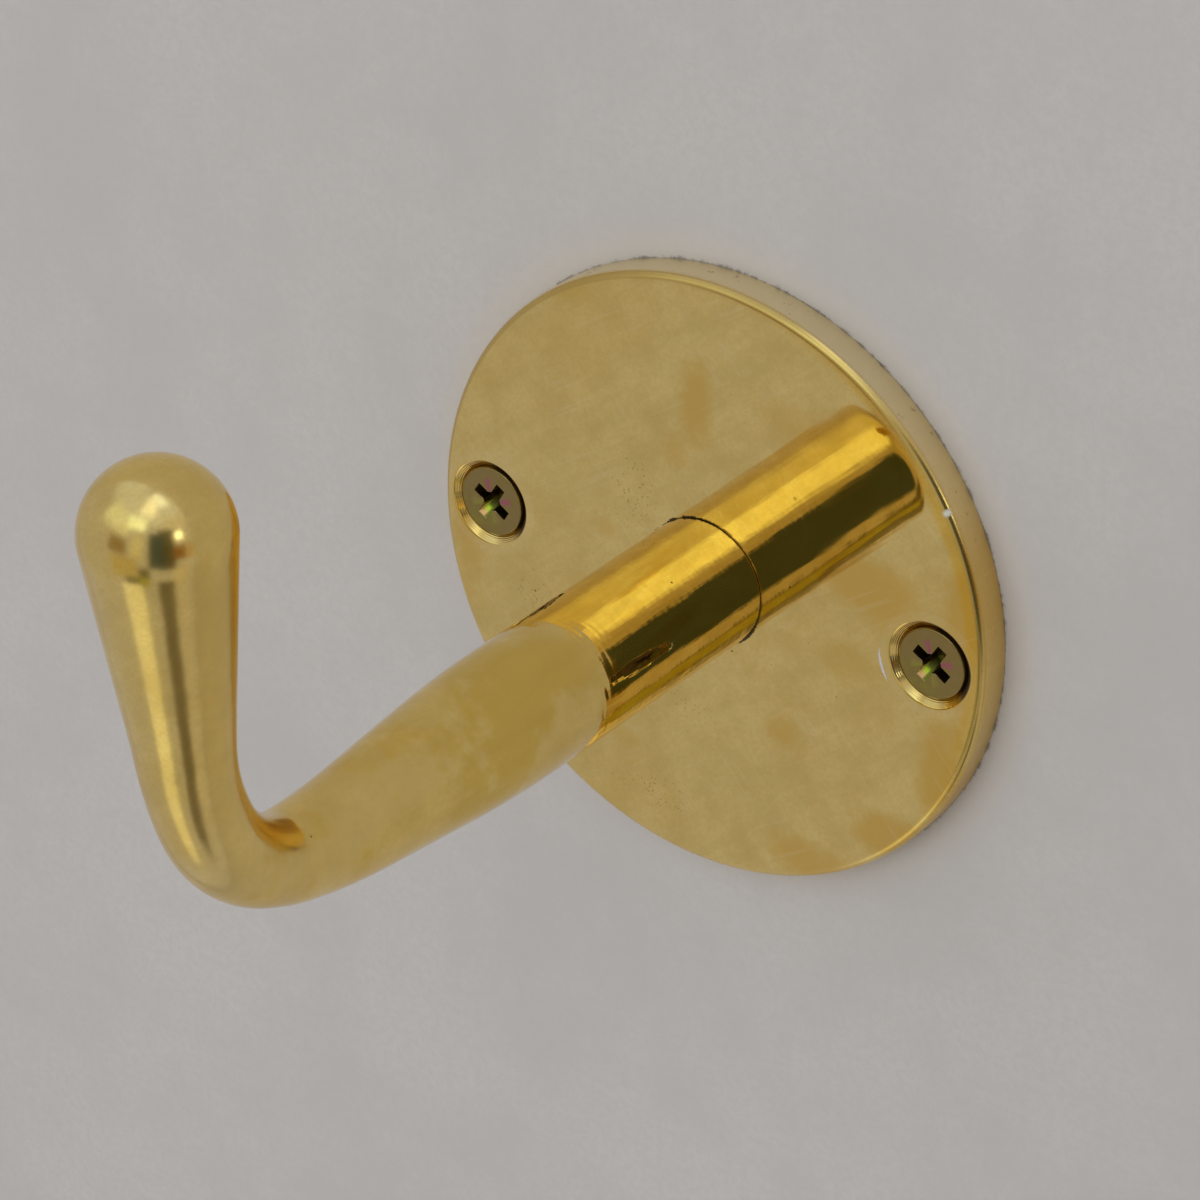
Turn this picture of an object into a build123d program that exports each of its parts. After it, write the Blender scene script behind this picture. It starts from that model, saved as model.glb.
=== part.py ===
from build123d import *
import os
from math import asin, atan2, cos, hypot, radians, sin, tan

# Wall-mounted coat hook: a round plate, a turned and bent arm, the machine screw that joins them
# from behind, and the two wood screws that hold the plate to the wall.
# The origin is the centre of the plate's back face, which lies on the wall (the XZ plane).
# The arm stands out along -Y and its end turns up along +Z. All sizes are in millimetres.

# Round plate
plate_diameter = 60.0
plate_thickness = 3.8
plate_front_chamfer = 0.5
plate_front_chamfer_break = 0.15

# Wall screws: countersunk wood screws of 3.5 by 35, left and right of the arm. Each has a plain
# neck under its head, and its thread, drawn at the outer diameter, starts behind the plate.
wall_screw_edge_distance = 5.5
wall_screw_length = 35.0
wall_screw_diameter = 3.5
wall_screw_neck_diameter = 2.6
wall_screw_thread_start = 3.7
wall_screw_head_diameter = 6.9
wall_screw_head_land = 0.5
wall_screw_point_length = 5.0
wall_screw_point_radius = 0.2
wall_screw_sink = 0.3
wall_hole_diameter = 4.2

# Arm screw: countersunk machine screw of 5 by 16, from the back of the plate into the arm
arm_screw_diameter = 5.0
arm_screw_length = 16.0
arm_screw_head_diameter = 9.2
arm_screw_head_land = 0.3
arm_screw_end_chamfer = 0.6
arm_screw_sink = 0.15
arm_hole_diameter = 5.5

# Both kinds of screw: a right-angled cone under the head and one size of cross recess
countersink_angle = 90.0
head_seat_clearance = 0.05
head_rim_chamfer = 0.15
recess_span = 4.1
recess_arm_width = 1.05
recess_core_width = 1.9
recess_depth = 2.0
recess_bottom_span = 1.3
wall_screw_recess_turn = -31.0
arm_screw_recess_turn = 12.0

# Arm, as the straight bar that leaves the lathe: lengths run from the plate's face to the centre
# of the ball that ends it, which keeps the bar's own diameter
bar_diameter = 12.7
cylinder_length = 33.9
taper_length = 27.8
neck_diameter = 7.94
neck_length = 18.5
swell_length = 22.1
arm_base_chamfer = 0.2

# Radii that blend the cylinder into the taper, the taper into the neck, and the neck into the swell
taper_start_blend = 140.0
taper_end_blend = 10.0
swell_start_blend = 75.0

# Bend, as the bar comes off the former: a soft run-in, the tight turn and a soft run-out
run_in_start = 49.8
run_in_radius, run_in_angle = 55.0, 9.4
turn_radius, turn_angle = 14.6, 55.0
run_out_radius, run_out_angle = 27.0, 19.0

# Steps between the round sections that the bent length is lofted through
bend_steps = 8

# Tapped hole in the arm's foot, drawn at the screw's outer diameter
thread_clearance = 0.05
tapped_hole_run_out = 2.0
drill_point_angle = 118.0

# Sizes worked out from the ones above
wall_screw_pitch = plate_diameter - 2 * wall_screw_edge_distance
arm_length = cylinder_length + taper_length + neck_length + swell_length
bar_radius = bar_diameter / 2
neck_radius = neck_diameter / 2
front_y = -plate_thickness


def countersink_radius(head_diameter, head_land, sink):
    """Mouth of the countersink that lets a head of this size seat this far below the face."""
    return head_diameter / 2 + head_seat_clearance + sink + head_land


def head_outline(head_diameter, head_land, shank_diameter):
    """Half outline of a countersunk head: x is the radius, y the depth below the head's top."""
    head_radius = head_diameter / 2
    shank_radius = shank_diameter / 2
    return [
        (0, 0),
        (head_radius, 0),
        (head_radius, head_land),
        (shank_radius, head_land + head_radius - shank_radius),
    ]


# Cross recess: crossed slots and a square core, drawn together inside a cone, which narrows
# them towards the bottom. It is cut down from the origin along -Z.
with BuildPart() as cross_recess:
    with BuildSketch():
        Rectangle(recess_span, recess_arm_width)
        Rectangle(recess_arm_width, recess_span)
        Rectangle(recess_core_width, recess_core_width, rotation=45)
    extrude(amount=-recess_depth)
    with Locations((0, 0, -recess_depth)):
        Cone(
            recess_bottom_span / 2,
            recess_span / 2,
            recess_depth,
            align=(Align.CENTER, Align.CENTER, Align.MIN),
            mode=Mode.INTERSECT,
        )

# Plate: a thick disc, countersunk from the front for the wall screws and from the back for the
# arm's screw. Its front edge is softened by a chamfer whose own two corners are broken.
plate_front = Plane(origin=(0, front_y, 0), x_dir=(1, 0, 0), z_dir=(0, -1, 0))
plate_back = Plane(origin=(0, 0, 0), x_dir=(1, 0, 0), z_dir=(0, 1, 0))

with BuildPart() as back_plate:
    with BuildSketch(plate_back):
        Circle(plate_diameter / 2)
    extrude(amount=-plate_thickness)
    chamfer(back_plate.edges().sort_by(Axis.Y)[0], plate_front_chamfer)
    chamfer(back_plate.edges().group_by(Axis.Y)[0:2], plate_front_chamfer_break)
    with Locations(plate_front):
        with GridLocations(wall_screw_pitch, 0, 2, 1):
            CounterSinkHole(
                wall_hole_diameter / 2,
                countersink_radius(wall_screw_head_diameter, wall_screw_head_land, wall_screw_sink),
                counter_sink_angle=countersink_angle,
            )
    with Locations(plate_back):
        CounterSinkHole(
            arm_hole_diameter / 2,
            countersink_radius(arm_screw_head_diameter, arm_screw_head_land, arm_screw_sink),
            counter_sink_angle=countersink_angle,
        )
back_plate.part.label = "back_plate"

# Outline of the straight bar: x is the distance from the plate, y the radius. The swell is a cone
# that runs into the ball without a corner.
taper_end = cylinder_length + taper_length
swell_start = taper_end + neck_length
swell_angle = asin(bar_radius / hypot(swell_length, neck_radius)) - atan2(neck_radius, swell_length)
ball_start = (arm_length - bar_radius * sin(swell_angle), bar_radius * cos(swell_angle))
bar_end = (arm_length + bar_radius, 0)

with BuildLine(Plane.XY) as bar_outline:
    FilletPolyline(
        (0, bar_radius),
        (cylinder_length, bar_radius),
        (taper_end, neck_radius),
        (swell_start, neck_radius),
        ball_start,
        radius=[taper_start_blend, taper_end_blend, swell_start_blend],
    )
    RadiusArc(ball_start, bar_end, bar_radius)

with BuildPart() as turned_bar:
    with BuildSketch():
        with BuildLine():
            add(bar_outline.line)
            Polyline(bar_end, (0, 0), (0, bar_radius))
        make_face()
    revolve(axis=Axis.X)

# Centre line of the bent bar, in the YZ plane, from the plate's face to the ball's centre
with BuildLine(Plane.YZ) as centre_line:
    straight = Line((front_y, 0), (front_y - run_in_start, 0))
    run_in = JernArc(straight @ 1, straight % 1, run_in_radius, -run_in_angle)
    tight_turn = JernArc(run_in @ 1, run_in % 1, turn_radius, -turn_angle)
    run_out = JernArc(tight_turn @ 1, tight_turn % 1, run_out_radius, -run_out_angle)
    leg_start = straight.length + run_in.length + tight_turn.length + run_out.length
    leg = Line(run_out @ 1, run_out @ 1 + (run_out % 1) * (arm_length - leg_start))
arm_path = centre_line.wire()


def arm_section(distance):
    """Plane square to the bent centre line, at a distance along it from the plate's face."""
    return Plane(
        origin=arm_path.position_at(distance, position_mode=PositionMode.LENGTH),
        x_dir=(1, 0, 0),
        z_dir=arm_path.tangent_at(distance, position_mode=PositionMode.LENGTH),
    )


def turned_radius(distance):
    """Radius of the straight bar at a distance from the plate."""
    cut = Edge.make_line((distance, 0), (distance, bar_diameter))
    return bar_outline.wire().intersect(cut)[0].Y


def bar_along(distance):
    """Where the straight bar lies when it is in line with the centre line at a distance."""
    section = arm_section(distance)
    return Plane(section.origin - section.z_dir * distance, x_dir=section.z_dir, z_dir=section.x_dir)


# Leg of the arm: the straight bar's end, past the bend
with BuildPart() as leg_end:
    with Locations(bar_along(leg_start)):
        add(turned_bar.part)
    split(bisect_by=arm_section(leg_start), keep=Keep.TOP)

# Arm: the straight bar's foot, the bent length lofted through round sections, and the leg. The
# tapped hole runs in from the foot.
tapped_radius = arm_screw_diameter / 2 + thread_clearance
tapped_end_y = -arm_screw_sink - arm_screw_length - tapped_hole_run_out
drill_point = tapped_radius / tan(radians(drill_point_angle / 2))
bend_step = (leg_start - run_in_start) / bend_steps

with BuildPart() as hook_arm:
    with Locations(bar_along(0)):
        add(turned_bar.part)
    split(bisect_by=arm_section(run_in_start), keep=Keep.BOTTOM)
    chamfer(hook_arm.edges().sort_by(Axis.Y)[-1], arm_base_chamfer)
    for step in range(bend_steps + 1):
        distance = run_in_start + step * bend_step
        with BuildSketch(arm_section(distance)):
            Circle(turned_radius(distance))
    loft()
    add(leg_end.part)
    with BuildSketch(Plane.XY):
        with BuildLine():
            Polyline(
                (0, front_y),
                (tapped_radius, front_y),
                (tapped_radius, tapped_end_y),
                (0, tapped_end_y - drill_point),
                close=True,
            )
        make_face()
    revolve(axis=Axis.Y, mode=Mode.SUBTRACT)
hook_arm.part.label = "hook_arm"

# Arm screw: its head lies just below the plate's back face, its shank points into the arm
arm_screw_top = plate_back.offset(-arm_screw_sink)
arm_screw_radius = arm_screw_diameter / 2
arm_screw_outline = [
    *head_outline(arm_screw_head_diameter, arm_screw_head_land, arm_screw_diameter),
    (arm_screw_radius, arm_screw_length - arm_screw_end_chamfer),
    (arm_screw_radius - arm_screw_end_chamfer, arm_screw_length),
    (0, arm_screw_length),
]

with BuildPart() as arm_screw:
    with BuildSketch(Plane(arm_screw_top.origin, x_dir=(1, 0, 0), z_dir=(0, 0, -1))):
        with BuildLine():
            Polyline(*arm_screw_outline, close=True)
        make_face()
    revolve(axis=Axis.Y)
    chamfer(arm_screw.edges().sort_by(Axis.Y)[-1], head_rim_chamfer)
    with Locations(arm_screw_top.rotated((0, 0, arm_screw_recess_turn))):
        add(cross_recess.part, mode=Mode.SUBTRACT)
arm_screw.part.label = "arm_screw"

# Wall screws: each head seats in its countersink, the point reaches into the wall
wall_screw_top = plate_front.offset(-wall_screw_sink)
thread_radius = wall_screw_diameter / 2
neck_step = (wall_screw_diameter - wall_screw_neck_diameter) / 2
wall_screw_outline = [
    *head_outline(wall_screw_head_diameter, wall_screw_head_land, wall_screw_neck_diameter),
    (thread_radius - neck_step, wall_screw_thread_start - neck_step),
    (thread_radius, wall_screw_thread_start),
    (thread_radius, wall_screw_length - wall_screw_point_length),
    (wall_screw_point_radius, wall_screw_length),
    (0, wall_screw_length),
]

with BuildPart() as wall_screws:
    for side in (-1, 1):
        axis_point = wall_screw_top.origin + Vector(side * wall_screw_pitch / 2, 0, 0)
        with BuildSketch(Plane(axis_point, x_dir=(1, 0, 0), z_dir=(0, 0, 1))):
            with BuildLine():
                Polyline(*wall_screw_outline, close=True)
            make_face()
        revolve(axis=Axis(axis_point, (0, 1, 0)))
    chamfer(wall_screws.edges().group_by(Axis.Y)[0], head_rim_chamfer)
    with Locations(wall_screw_top):
        with GridLocations(wall_screw_pitch, 0, 2, 1):
            with Locations(Rotation(0, 0, wall_screw_recess_turn)):
                add(cross_recess.part, mode=Mode.SUBTRACT)
wall_screws.part.label = "wall_screws"

os.makedirs("parts", exist_ok=True)
for piece in (back_plate, hook_arm, arm_screw, wall_screws):
    export_step(piece.part, f"parts/{piece.part.label}.step")
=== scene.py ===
"""Looks of a wall-mounted brass coat hook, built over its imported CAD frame.

All lengths are in metres, in the CAD's own frame: the origin is the centre of the plate's back face
on the wall, -Y points into the room, +Z points up and +X points right as seen from the room.
"""

import logging
import math
from dataclasses import dataclass
from enum import Enum

import bmesh
import bpy
import numpy as np
from mathutils import Matrix, Vector
from mathutils.geometry import delaunay_2d_cdt


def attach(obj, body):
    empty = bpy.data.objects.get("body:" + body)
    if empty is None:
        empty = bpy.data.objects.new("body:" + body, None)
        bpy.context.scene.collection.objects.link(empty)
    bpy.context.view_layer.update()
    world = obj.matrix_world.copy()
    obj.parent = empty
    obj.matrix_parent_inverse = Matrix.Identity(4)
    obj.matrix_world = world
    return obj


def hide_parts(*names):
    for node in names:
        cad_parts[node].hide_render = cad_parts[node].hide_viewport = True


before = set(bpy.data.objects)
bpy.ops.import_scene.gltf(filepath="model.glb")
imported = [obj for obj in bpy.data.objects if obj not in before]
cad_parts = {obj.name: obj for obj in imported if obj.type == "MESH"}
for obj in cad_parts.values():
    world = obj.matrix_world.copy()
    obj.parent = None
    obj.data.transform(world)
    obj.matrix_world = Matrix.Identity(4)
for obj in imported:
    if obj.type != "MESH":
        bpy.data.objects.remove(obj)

MM = 0.001
BODY = "root"
WELD = 0.0002 * MM
EPSILON = 1e-9

# Driving sizes, shared by the pieces and their finishes
PLATE_RADIUS = 30.0 * MM
PLATE_THICKNESS = 3.8 * MM
FACE_Y = -PLATE_THICKNESS
BAR_RADIUS = 6.35 * MM
SCREW_X = 24.5 * MM
MOUTH_RADIUS = 4.3 * MM

# Numbers of points round the turned surfaces, and along the arm and its ball
RIM_COLUMNS = 360
HOLE_COLUMNS = 144
ARM_HOLE_COLUMNS = 96
ARM_COLUMNS = 200
ARM_ROWS = 380
BALL_ROWS = 40
WALL_COLUMNS = 180

Triple = tuple[float, float, float]
Colour = Triple
Socket = bpy.types.NodeSocket
log = logging.getLogger("coat_hook")


# Surfaces


@dataclass
class Sheet:
    """A surface worked out on a grid, before it goes into a mesh.

    Attributes:
        points: One row of x, y and z for each vertex.
        faces: One row of vertex numbers for each face, all with three or all with four corners.
        uv: One u and v for each corner of each face.
    """

    points: np.ndarray
    faces: np.ndarray
    uv: np.ndarray


def wrapped_grid(points: np.ndarray, u: np.ndarray, v: np.ndarray) -> Sheet:
    """Joins a grid of points into quads, with its last column joined to its first.

    Args:
        points: Grid of points, shaped rows by columns by 3.
        u: One value for each column and one more for the seam, columns + 1 in all.
        v: One value for each row.

    Returns:
        The sheet, with u along its rows and v along its columns.
    """
    rows, columns = points.shape[:2]
    row, column = np.meshgrid(np.arange(rows - 1), np.arange(columns), indexing="ij")
    after = (column + 1) % columns
    faces = np.stack(
        [
            row * columns + column,
            row * columns + after,
            (row + 1) * columns + after,
            (row + 1) * columns + column,
        ],
        axis=-1,
    )
    corner_u = np.stack([u[column], u[column + 1], u[column + 1], u[column]], axis=-1)
    corner_v = np.stack([v[row], v[row], v[row + 1], v[row + 1]], axis=-1)
    uv = np.stack([corner_u, corner_v], axis=-1)
    return Sheet(points.reshape(-1, 3), faces.reshape(-1, 4), uv.reshape(-1, 4, 2))


def turned_sheet(
    radius: np.ndarray,
    height: np.ndarray,
    angle: np.ndarray,
    origin: Triple,
    out: float,
) -> Sheet:
    """Surface turned about an axis along Y.

    A point is the origin, plus its radius times the cosine of its angle along X and the sine along
    Z, plus its height along Y, towards the side that `out` names.

    Args:
        radius: Radii, shaped rows by columns, or rows by 1 for a round profile.
        height: Heights, shaped like the radii.
        angle: One angle for each column, in radians, rising over one turn.
        origin: Where the axis meets height 0.
        out: 1 where heights grow along +Y, -1 where they grow along -Y.

    Returns:
        The sheet. Its u is the angle in turns, its v the distance along the first column's profile.
    """
    shape = (radius.shape[0], angle.size)
    radius = np.broadcast_to(radius, shape)
    height = np.broadcast_to(height, shape)
    points = np.stack(
        [
            origin[0] + radius * np.cos(angle),
            origin[1] + out * height,
            origin[2] + radius * np.sin(angle),
        ],
        axis=-1,
    )
    step = np.hypot(np.diff(radius[:, 0]), np.diff(height[:, 0]))
    v = np.concatenate([[0.0], np.cumsum(step)])
    u = np.append(angle, angle[0] + 2 * np.pi) / (2 * np.pi)
    return wrapped_grid(points, u, v)


def arc(
    centre: tuple[float, float], radius: float, start: float, end: float, steps: int
) -> np.ndarray:
    """Points of an arc in a half outline, as rows of (radius, height).

    Args:
        centre: Centre of the arc, as (radius, height).
        radius: Radius of the arc.
        start: First angle, in degrees from the direction of growing radius.
        end: Last angle, in degrees.
        steps: Number of equal steps.

    Returns:
        Array of steps + 1 rows.
    """
    angle = np.radians(np.linspace(start, end, steps + 1))
    return np.array(centre) + radius * np.stack([np.cos(angle), np.sin(angle)], axis=1)


def even_turn(columns: int) -> np.ndarray:
    """Angles of evenly spaced columns over one turn, in radians."""
    return np.linspace(0.0, 2 * np.pi, columns, endpoint=False)


def spokes(columns: int) -> np.ndarray:
    """Points of a circle of radius 1 at evenly spaced columns, as rows of two."""
    angle = even_turn(columns)
    return np.stack([np.cos(angle), np.sin(angle)], axis=1)


def flat_sheet(
    y: float,
    outline: float,
    columns: int,
    holes: list[tuple[float, float, int]],
    inner: tuple[float, ...] = (),
    clear: float = 0.08 * MM,
) -> Sheet:
    """Flat round face at one y, with round holes along X.

    The rims of the disc and of its holes are circles of points, joined by a constrained Delaunay
    triangulation, and the triangles whose middles lie inside a hole are left out. Loose points on
    inner rings, outside the holes, let the face be shaped afterwards.

    Args:
        y: Where the face lies.
        outline: Radius of the face.
        columns: Number of points on its rim.
        holes: One (x of the centre, radius, number of points) for each hole.
        inner: Radii of the inner rings.
        clear: Distance that the inner rings' points keep from the holes.

    Returns:
        The sheet, with its u and v along X and Z in metres.
    """
    rings = [(0.0, outline, columns), *holes]
    circles = [r * spokes(n) + np.array([x, 0.0]) for x, r, n in rings]
    firsts = np.cumsum([0] + [len(c) for c in circles])
    edges = [
        np.stack([np.arange(n), (np.arange(n) + 1) % n], axis=1) + first
        for (_, _, n), first in zip(rings, firsts)
    ]
    loose = (np.array(inner).reshape(-1, 1, 1) * spokes(columns)).reshape(-1, 2)
    for x, r, _ in holes:
        loose = loose[np.hypot(loose[:, 0] - x, loose[:, 1]) > r + clear]
    flat = np.concatenate([*circles, loose])
    links = np.concatenate(edges).tolist()
    found = delaunay_2d_cdt(flat.tolist(), links, [], 0, EPSILON, False)
    corners = np.array(found[0])
    faces = np.array(found[2])
    middle = corners[faces].mean(axis=1)
    keep = np.ones(len(faces), bool)
    for x, r, _ in holes:
        keep &= np.hypot(middle[:, 0] - x, middle[:, 1]) > r
    faces = faces[keep]
    points = np.stack([corners[:, 0], np.full(len(corners), y), corners[:, 1]], axis=1)
    return Sheet(points, faces, corners[faces])


class Shading(Enum):
    """How a piece's edges are shaded: the angle in degrees over which an edge stays sharp."""

    POLISHED = 34.0
    FACETED = 20.0


def piece_mesh(name: str, sheets: list[Sheet]) -> bpy.types.Object:
    """Puts sheets into one mesh with a UV map.

    Args:
        name: Name of the object.
        sheets: The sheets.

    Returns:
        The object, linked to the scene and lying at the origin.
    """
    mesh = bpy.data.meshes.new(name)
    firsts = np.cumsum([0] + [len(s.points) for s in sheets])
    faces = [face for s, first in zip(sheets, firsts) for face in (s.faces + first).tolist()]
    mesh.from_pydata(np.concatenate([s.points for s in sheets]).tolist(), [], faces)
    layer = mesh.uv_layers.new(name="UVMap")
    corners = np.concatenate([s.uv.reshape(-1) for s in sheets])
    layer.data.foreach_set("uv", corners.astype(np.float32))
    made = bpy.data.objects.new(name, mesh)
    bpy.context.scene.collection.objects.link(made)
    return made


def welded_piece(name: str, sheets: list[Sheet], shading: Shading) -> bpy.types.Object:
    """Puts sheets into one mesh, welds their seams and poles, and turns its faces outwards.

    Args:
        name: Name of the piece.
        sheets: Sheets that meet along shared points and close a volume.
        shading: Which edges stay sharp.

    Returns:
        The object.
    """
    piece = piece_mesh(name, sheets)
    work = bmesh.new()
    work.from_mesh(piece.data)
    bmesh.ops.remove_doubles(work, verts=work.verts, dist=WELD)
    bmesh.ops.dissolve_degenerate(work, edges=work.edges, dist=WELD / 10)
    bmesh.ops.recalc_face_normals(work, faces=work.faces)
    work.to_mesh(piece.data)
    work.free()
    piece.data.shade_smooth()
    piece.data.set_sharp_from_angle(angle=math.radians(shading.value))
    return piece


def seat_piece(piece: bpy.types.Object, node: str, material: bpy.types.Material) -> None:
    """Dresses a piece and lets it stand for its CAD node.

    Args:
        piece: The piece, in place.
        node: CAD node that it replaces.
        material: Its finish.
    """
    piece.data.materials.append(material)
    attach(piece, BODY)
    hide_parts(node)


# Finishes


class Graph:
    """Short way to build a shader from nodes."""

    def __init__(self, owner: bpy.types.Material | bpy.types.World) -> None:
        """Empties the owner's node tree and keeps it.

        Args:
            owner: Material or world whose shader is built.
        """
        owner.use_nodes = True
        self.tree = owner.node_tree
        self.tree.nodes.clear()

    def add(self, kind: str, inputs: dict | None = None, **settings: object) -> bpy.types.Node:
        """Adds a node.

        Args:
            kind: Blender's name of the node type.
            inputs: Values or output sockets for the node's inputs, by name or number.
            settings: Properties of the node.

        Returns:
            The node.
        """
        node = self.tree.nodes.new(kind)
        for key, value in settings.items():
            setattr(node, key, value)
        for key, value in (inputs or {}).items():
            if isinstance(value, Socket):
                self.tree.links.new(value, node.inputs[key])
            else:
                node.inputs[key].default_value = value
        return node

    def math(self, operation: str, a: object, b: object = 0.0) -> Socket:
        """Result of one math operation on two values or sockets."""
        return self.add("ShaderNodeMath", {0: a, 1: b}, operation=operation).outputs[0]

    def total(self, first: object, *rest: object) -> Socket:
        """Sum of values or sockets."""
        for value in rest:
            first = self.math("ADD", first, value)
        return first

    def product(self, first: object, *rest: object) -> Socket:
        """Product of values or sockets."""
        for value in rest:
            first = self.math("MULTIPLY", first, value)
        return first

    def less(self, a: object, b: object) -> Socket:
        """One value or socket less another."""
        return self.math("SUBTRACT", a, b)

    def apart(self, a: object, b: object) -> Socket:
        """Difference of two values or sockets, without its sign."""
        return self.math("ABSOLUTE", self.less(a, b))

    def around_zero(self, share: object, width: float) -> Socket:
        """A share from 0 to 1, shifted to lie round zero and scaled to a width."""
        return self.product(self.less(share, 0.5), width)

    def ramp(self, value: object, low: float, high: float) -> Socket:
        """Rises smoothly from 0 at low to 1 at high, or falls where low is the greater one."""
        inputs = {"Value": value, "From Min": low, "From Max": high}
        node = self.add("ShaderNodeMapRange", inputs, interpolation_type="SMOOTHSTEP")
        return node.outputs["Result"]

    def blend(self, share: object, a: object, b: object) -> Socket:
        """Mixes two colours by a share from 0 to 1."""
        node = self.add("ShaderNodeMix", data_type="RGBA")
        for socket, value in zip((node.inputs[0], node.inputs[6], node.inputs[7]), (share, a, b)):
            if isinstance(value, Socket):
                self.tree.links.new(value, socket)
            elif isinstance(value, tuple):
                socket.default_value = (*value, 1.0)
            else:
                socket.default_value = value
        return node.outputs[2]

    def layered(self, colour: object, *layers: tuple[object, object]) -> Socket:
        """Lays colours over a first one, in order, each given as (share, colour)."""
        for share, layer in layers:
            colour = self.blend(share, colour, layer)
        return colour

    def noise(
        self, where: object, scale: float, detail: float = 3.0, rough: float = 0.55
    ) -> Socket:
        """Value of a noise pattern at a place.

        Args:
            where: The place.
            scale: Waves for each unit of length.
            detail: Finer octaves laid over them.
            rough: Strength of each octave against the one before.

        Returns:
            The value, from 0 to 1.
        """
        inputs = {"Vector": where, "Scale": scale, "Detail": detail, "Roughness": rough}
        return self.add("ShaderNodeTexNoise", inputs).outputs["Fac"]

    def specks(self, where: object, scale: float, size: float) -> Socket:
        """Dots at the middles of scattered cells.

        Args:
            where: The place.
            scale: Cells for each unit of length.
            size: Radius of a dot, as a share of a cell.

        Returns:
            1 inside a dot, 0 outside.
        """
        inputs = {"Vector": where, "Scale": scale}
        cells = self.add("ShaderNodeTexVoronoi", inputs).outputs["Distance"]
        return self.ramp(cells, size, size * 0.6)

    def stretched(self, where: object, scale: Triple, turn: float = 0.0) -> Socket:
        """A place, turned about Y by an angle in radians and then scaled along each axis."""
        turned = self.add("ShaderNodeMapping", {"Vector": where, "Rotation": (0.0, turn, 0.0)})
        inputs = {"Vector": turned.outputs[0], "Scale": scale}
        return self.add("ShaderNodeMapping", inputs).outputs[0]

    def axes(self, where: object) -> bpy.types.bpy_prop_collection:
        """X, Y and Z of a place."""
        return self.add("ShaderNodeSeparateXYZ", {0: where}).outputs

    def distance(self, a: object, b: object) -> Socket:
        """Length of the hypotenuse over two sides."""
        return self.math("SQRT", self.total(self.product(a, a), self.product(b, b)))

    def along(self, x: object, z: object, way: tuple[float, float]) -> Socket:
        """Distance along a way in the XZ plane: x and z, each times the way's own, summed."""
        return self.total(self.product(x, way[0]), self.product(z, way[1]))

    def bump(self, height: Socket, depth: float, normal: Socket | None = None) -> Socket:
        """Normal of a relief.

        Args:
            height: Height from 0 to 1.
            depth: Depth in metres that the height stands for.
            normal: Normal of a relief that lies under it.

        Returns:
            The normal.
        """
        inputs = {"Height": height, "Strength": 1.0, "Distance": depth}
        if normal is not None:
            inputs["Normal"] = normal
        return self.add("ShaderNodeBump", inputs).outputs[0]

    def metal(self, colour: Socket, roughness: object, normal: Socket) -> None:
        """Ends the shader with a metal."""
        inputs = {"Base Color": colour, "Metallic": 1.0, "Roughness": roughness, "Normal": normal}
        shader = self.add("ShaderNodeBsdfPrincipled", inputs)
        self.add("ShaderNodeOutputMaterial", {"Surface": shader.outputs[0]})


@dataclass(frozen=True)
class Mottle:
    """Noise made into a share, which grows from nothing between two levels of the noise.

    Attributes:
        scale: Waves of the noise for each unit of length.
        detail: Finer octaves laid over them.
        rough: Strength of each octave against the one before.
        low: Level of the noise at which the share is 0.
        high: Level at which it is strongest.
        strongest: The strongest share.
        stretch: Scale of the place along each axis, where the noise is drawn out.
        turn: Turn of the place about Y, in radians.
    """

    scale: float
    detail: float
    rough: float
    low: float
    high: float
    strongest: float = 1.0
    stretch: Triple | None = None
    turn: float = 0.0

    def noise(self, graph: Graph, where: Socket) -> Socket:
        """The noise at a place."""
        if self.stretch is not None:
            where = graph.stretched(where, self.stretch, self.turn)
        return graph.noise(where, self.scale, self.detail, self.rough)

    def shown(self, graph: Graph, noise: Socket) -> Socket:
        """The share that a level of the noise stands for."""
        share = graph.ramp(noise, self.low, self.high)
        return share if self.strongest == 1.0 else graph.product(share, self.strongest)

    def share(self, graph: Graph, where: Socket) -> Socket:
        """The share at a place."""
        return self.shown(graph, self.noise(graph, where))


@dataclass(frozen=True)
class Cloud:
    """Patch of tarnish or specks on the plate's face.

    Attributes:
        x: X of its middle in millimetres.
        z: Z of its middle in millimetres.
        width: Half its width.
        height: Half its height.
        strength: How strongly it shows, from 0 to 1.
    """

    x: float
    z: float
    width: float
    height: float
    strength: float

    def share(self, graph: Graph, x: Socket, z: Socket, ragged: Socket) -> Socket:
        """Share of the cloud at a place.

        It falls from 1 to 0 as the distance from the middle, in half widths and half heights and
        made ragged by noise, goes from a third to one.

        Args:
            graph: Shader being built.
            x: X of the place in metres.
            z: Z of the place in metres.
            ragged: Noise around zero.

        Returns:
            The share.
        """
        across = graph.product(graph.less(x, self.x * MM), 1 / (self.width * MM))
        along = graph.product(graph.less(z, self.z * MM), 1 / (self.height * MM))
        reach = graph.total(graph.distance(across, along), ragged)
        return graph.product(graph.ramp(reach, 1.0, 0.3), self.strength)


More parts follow.
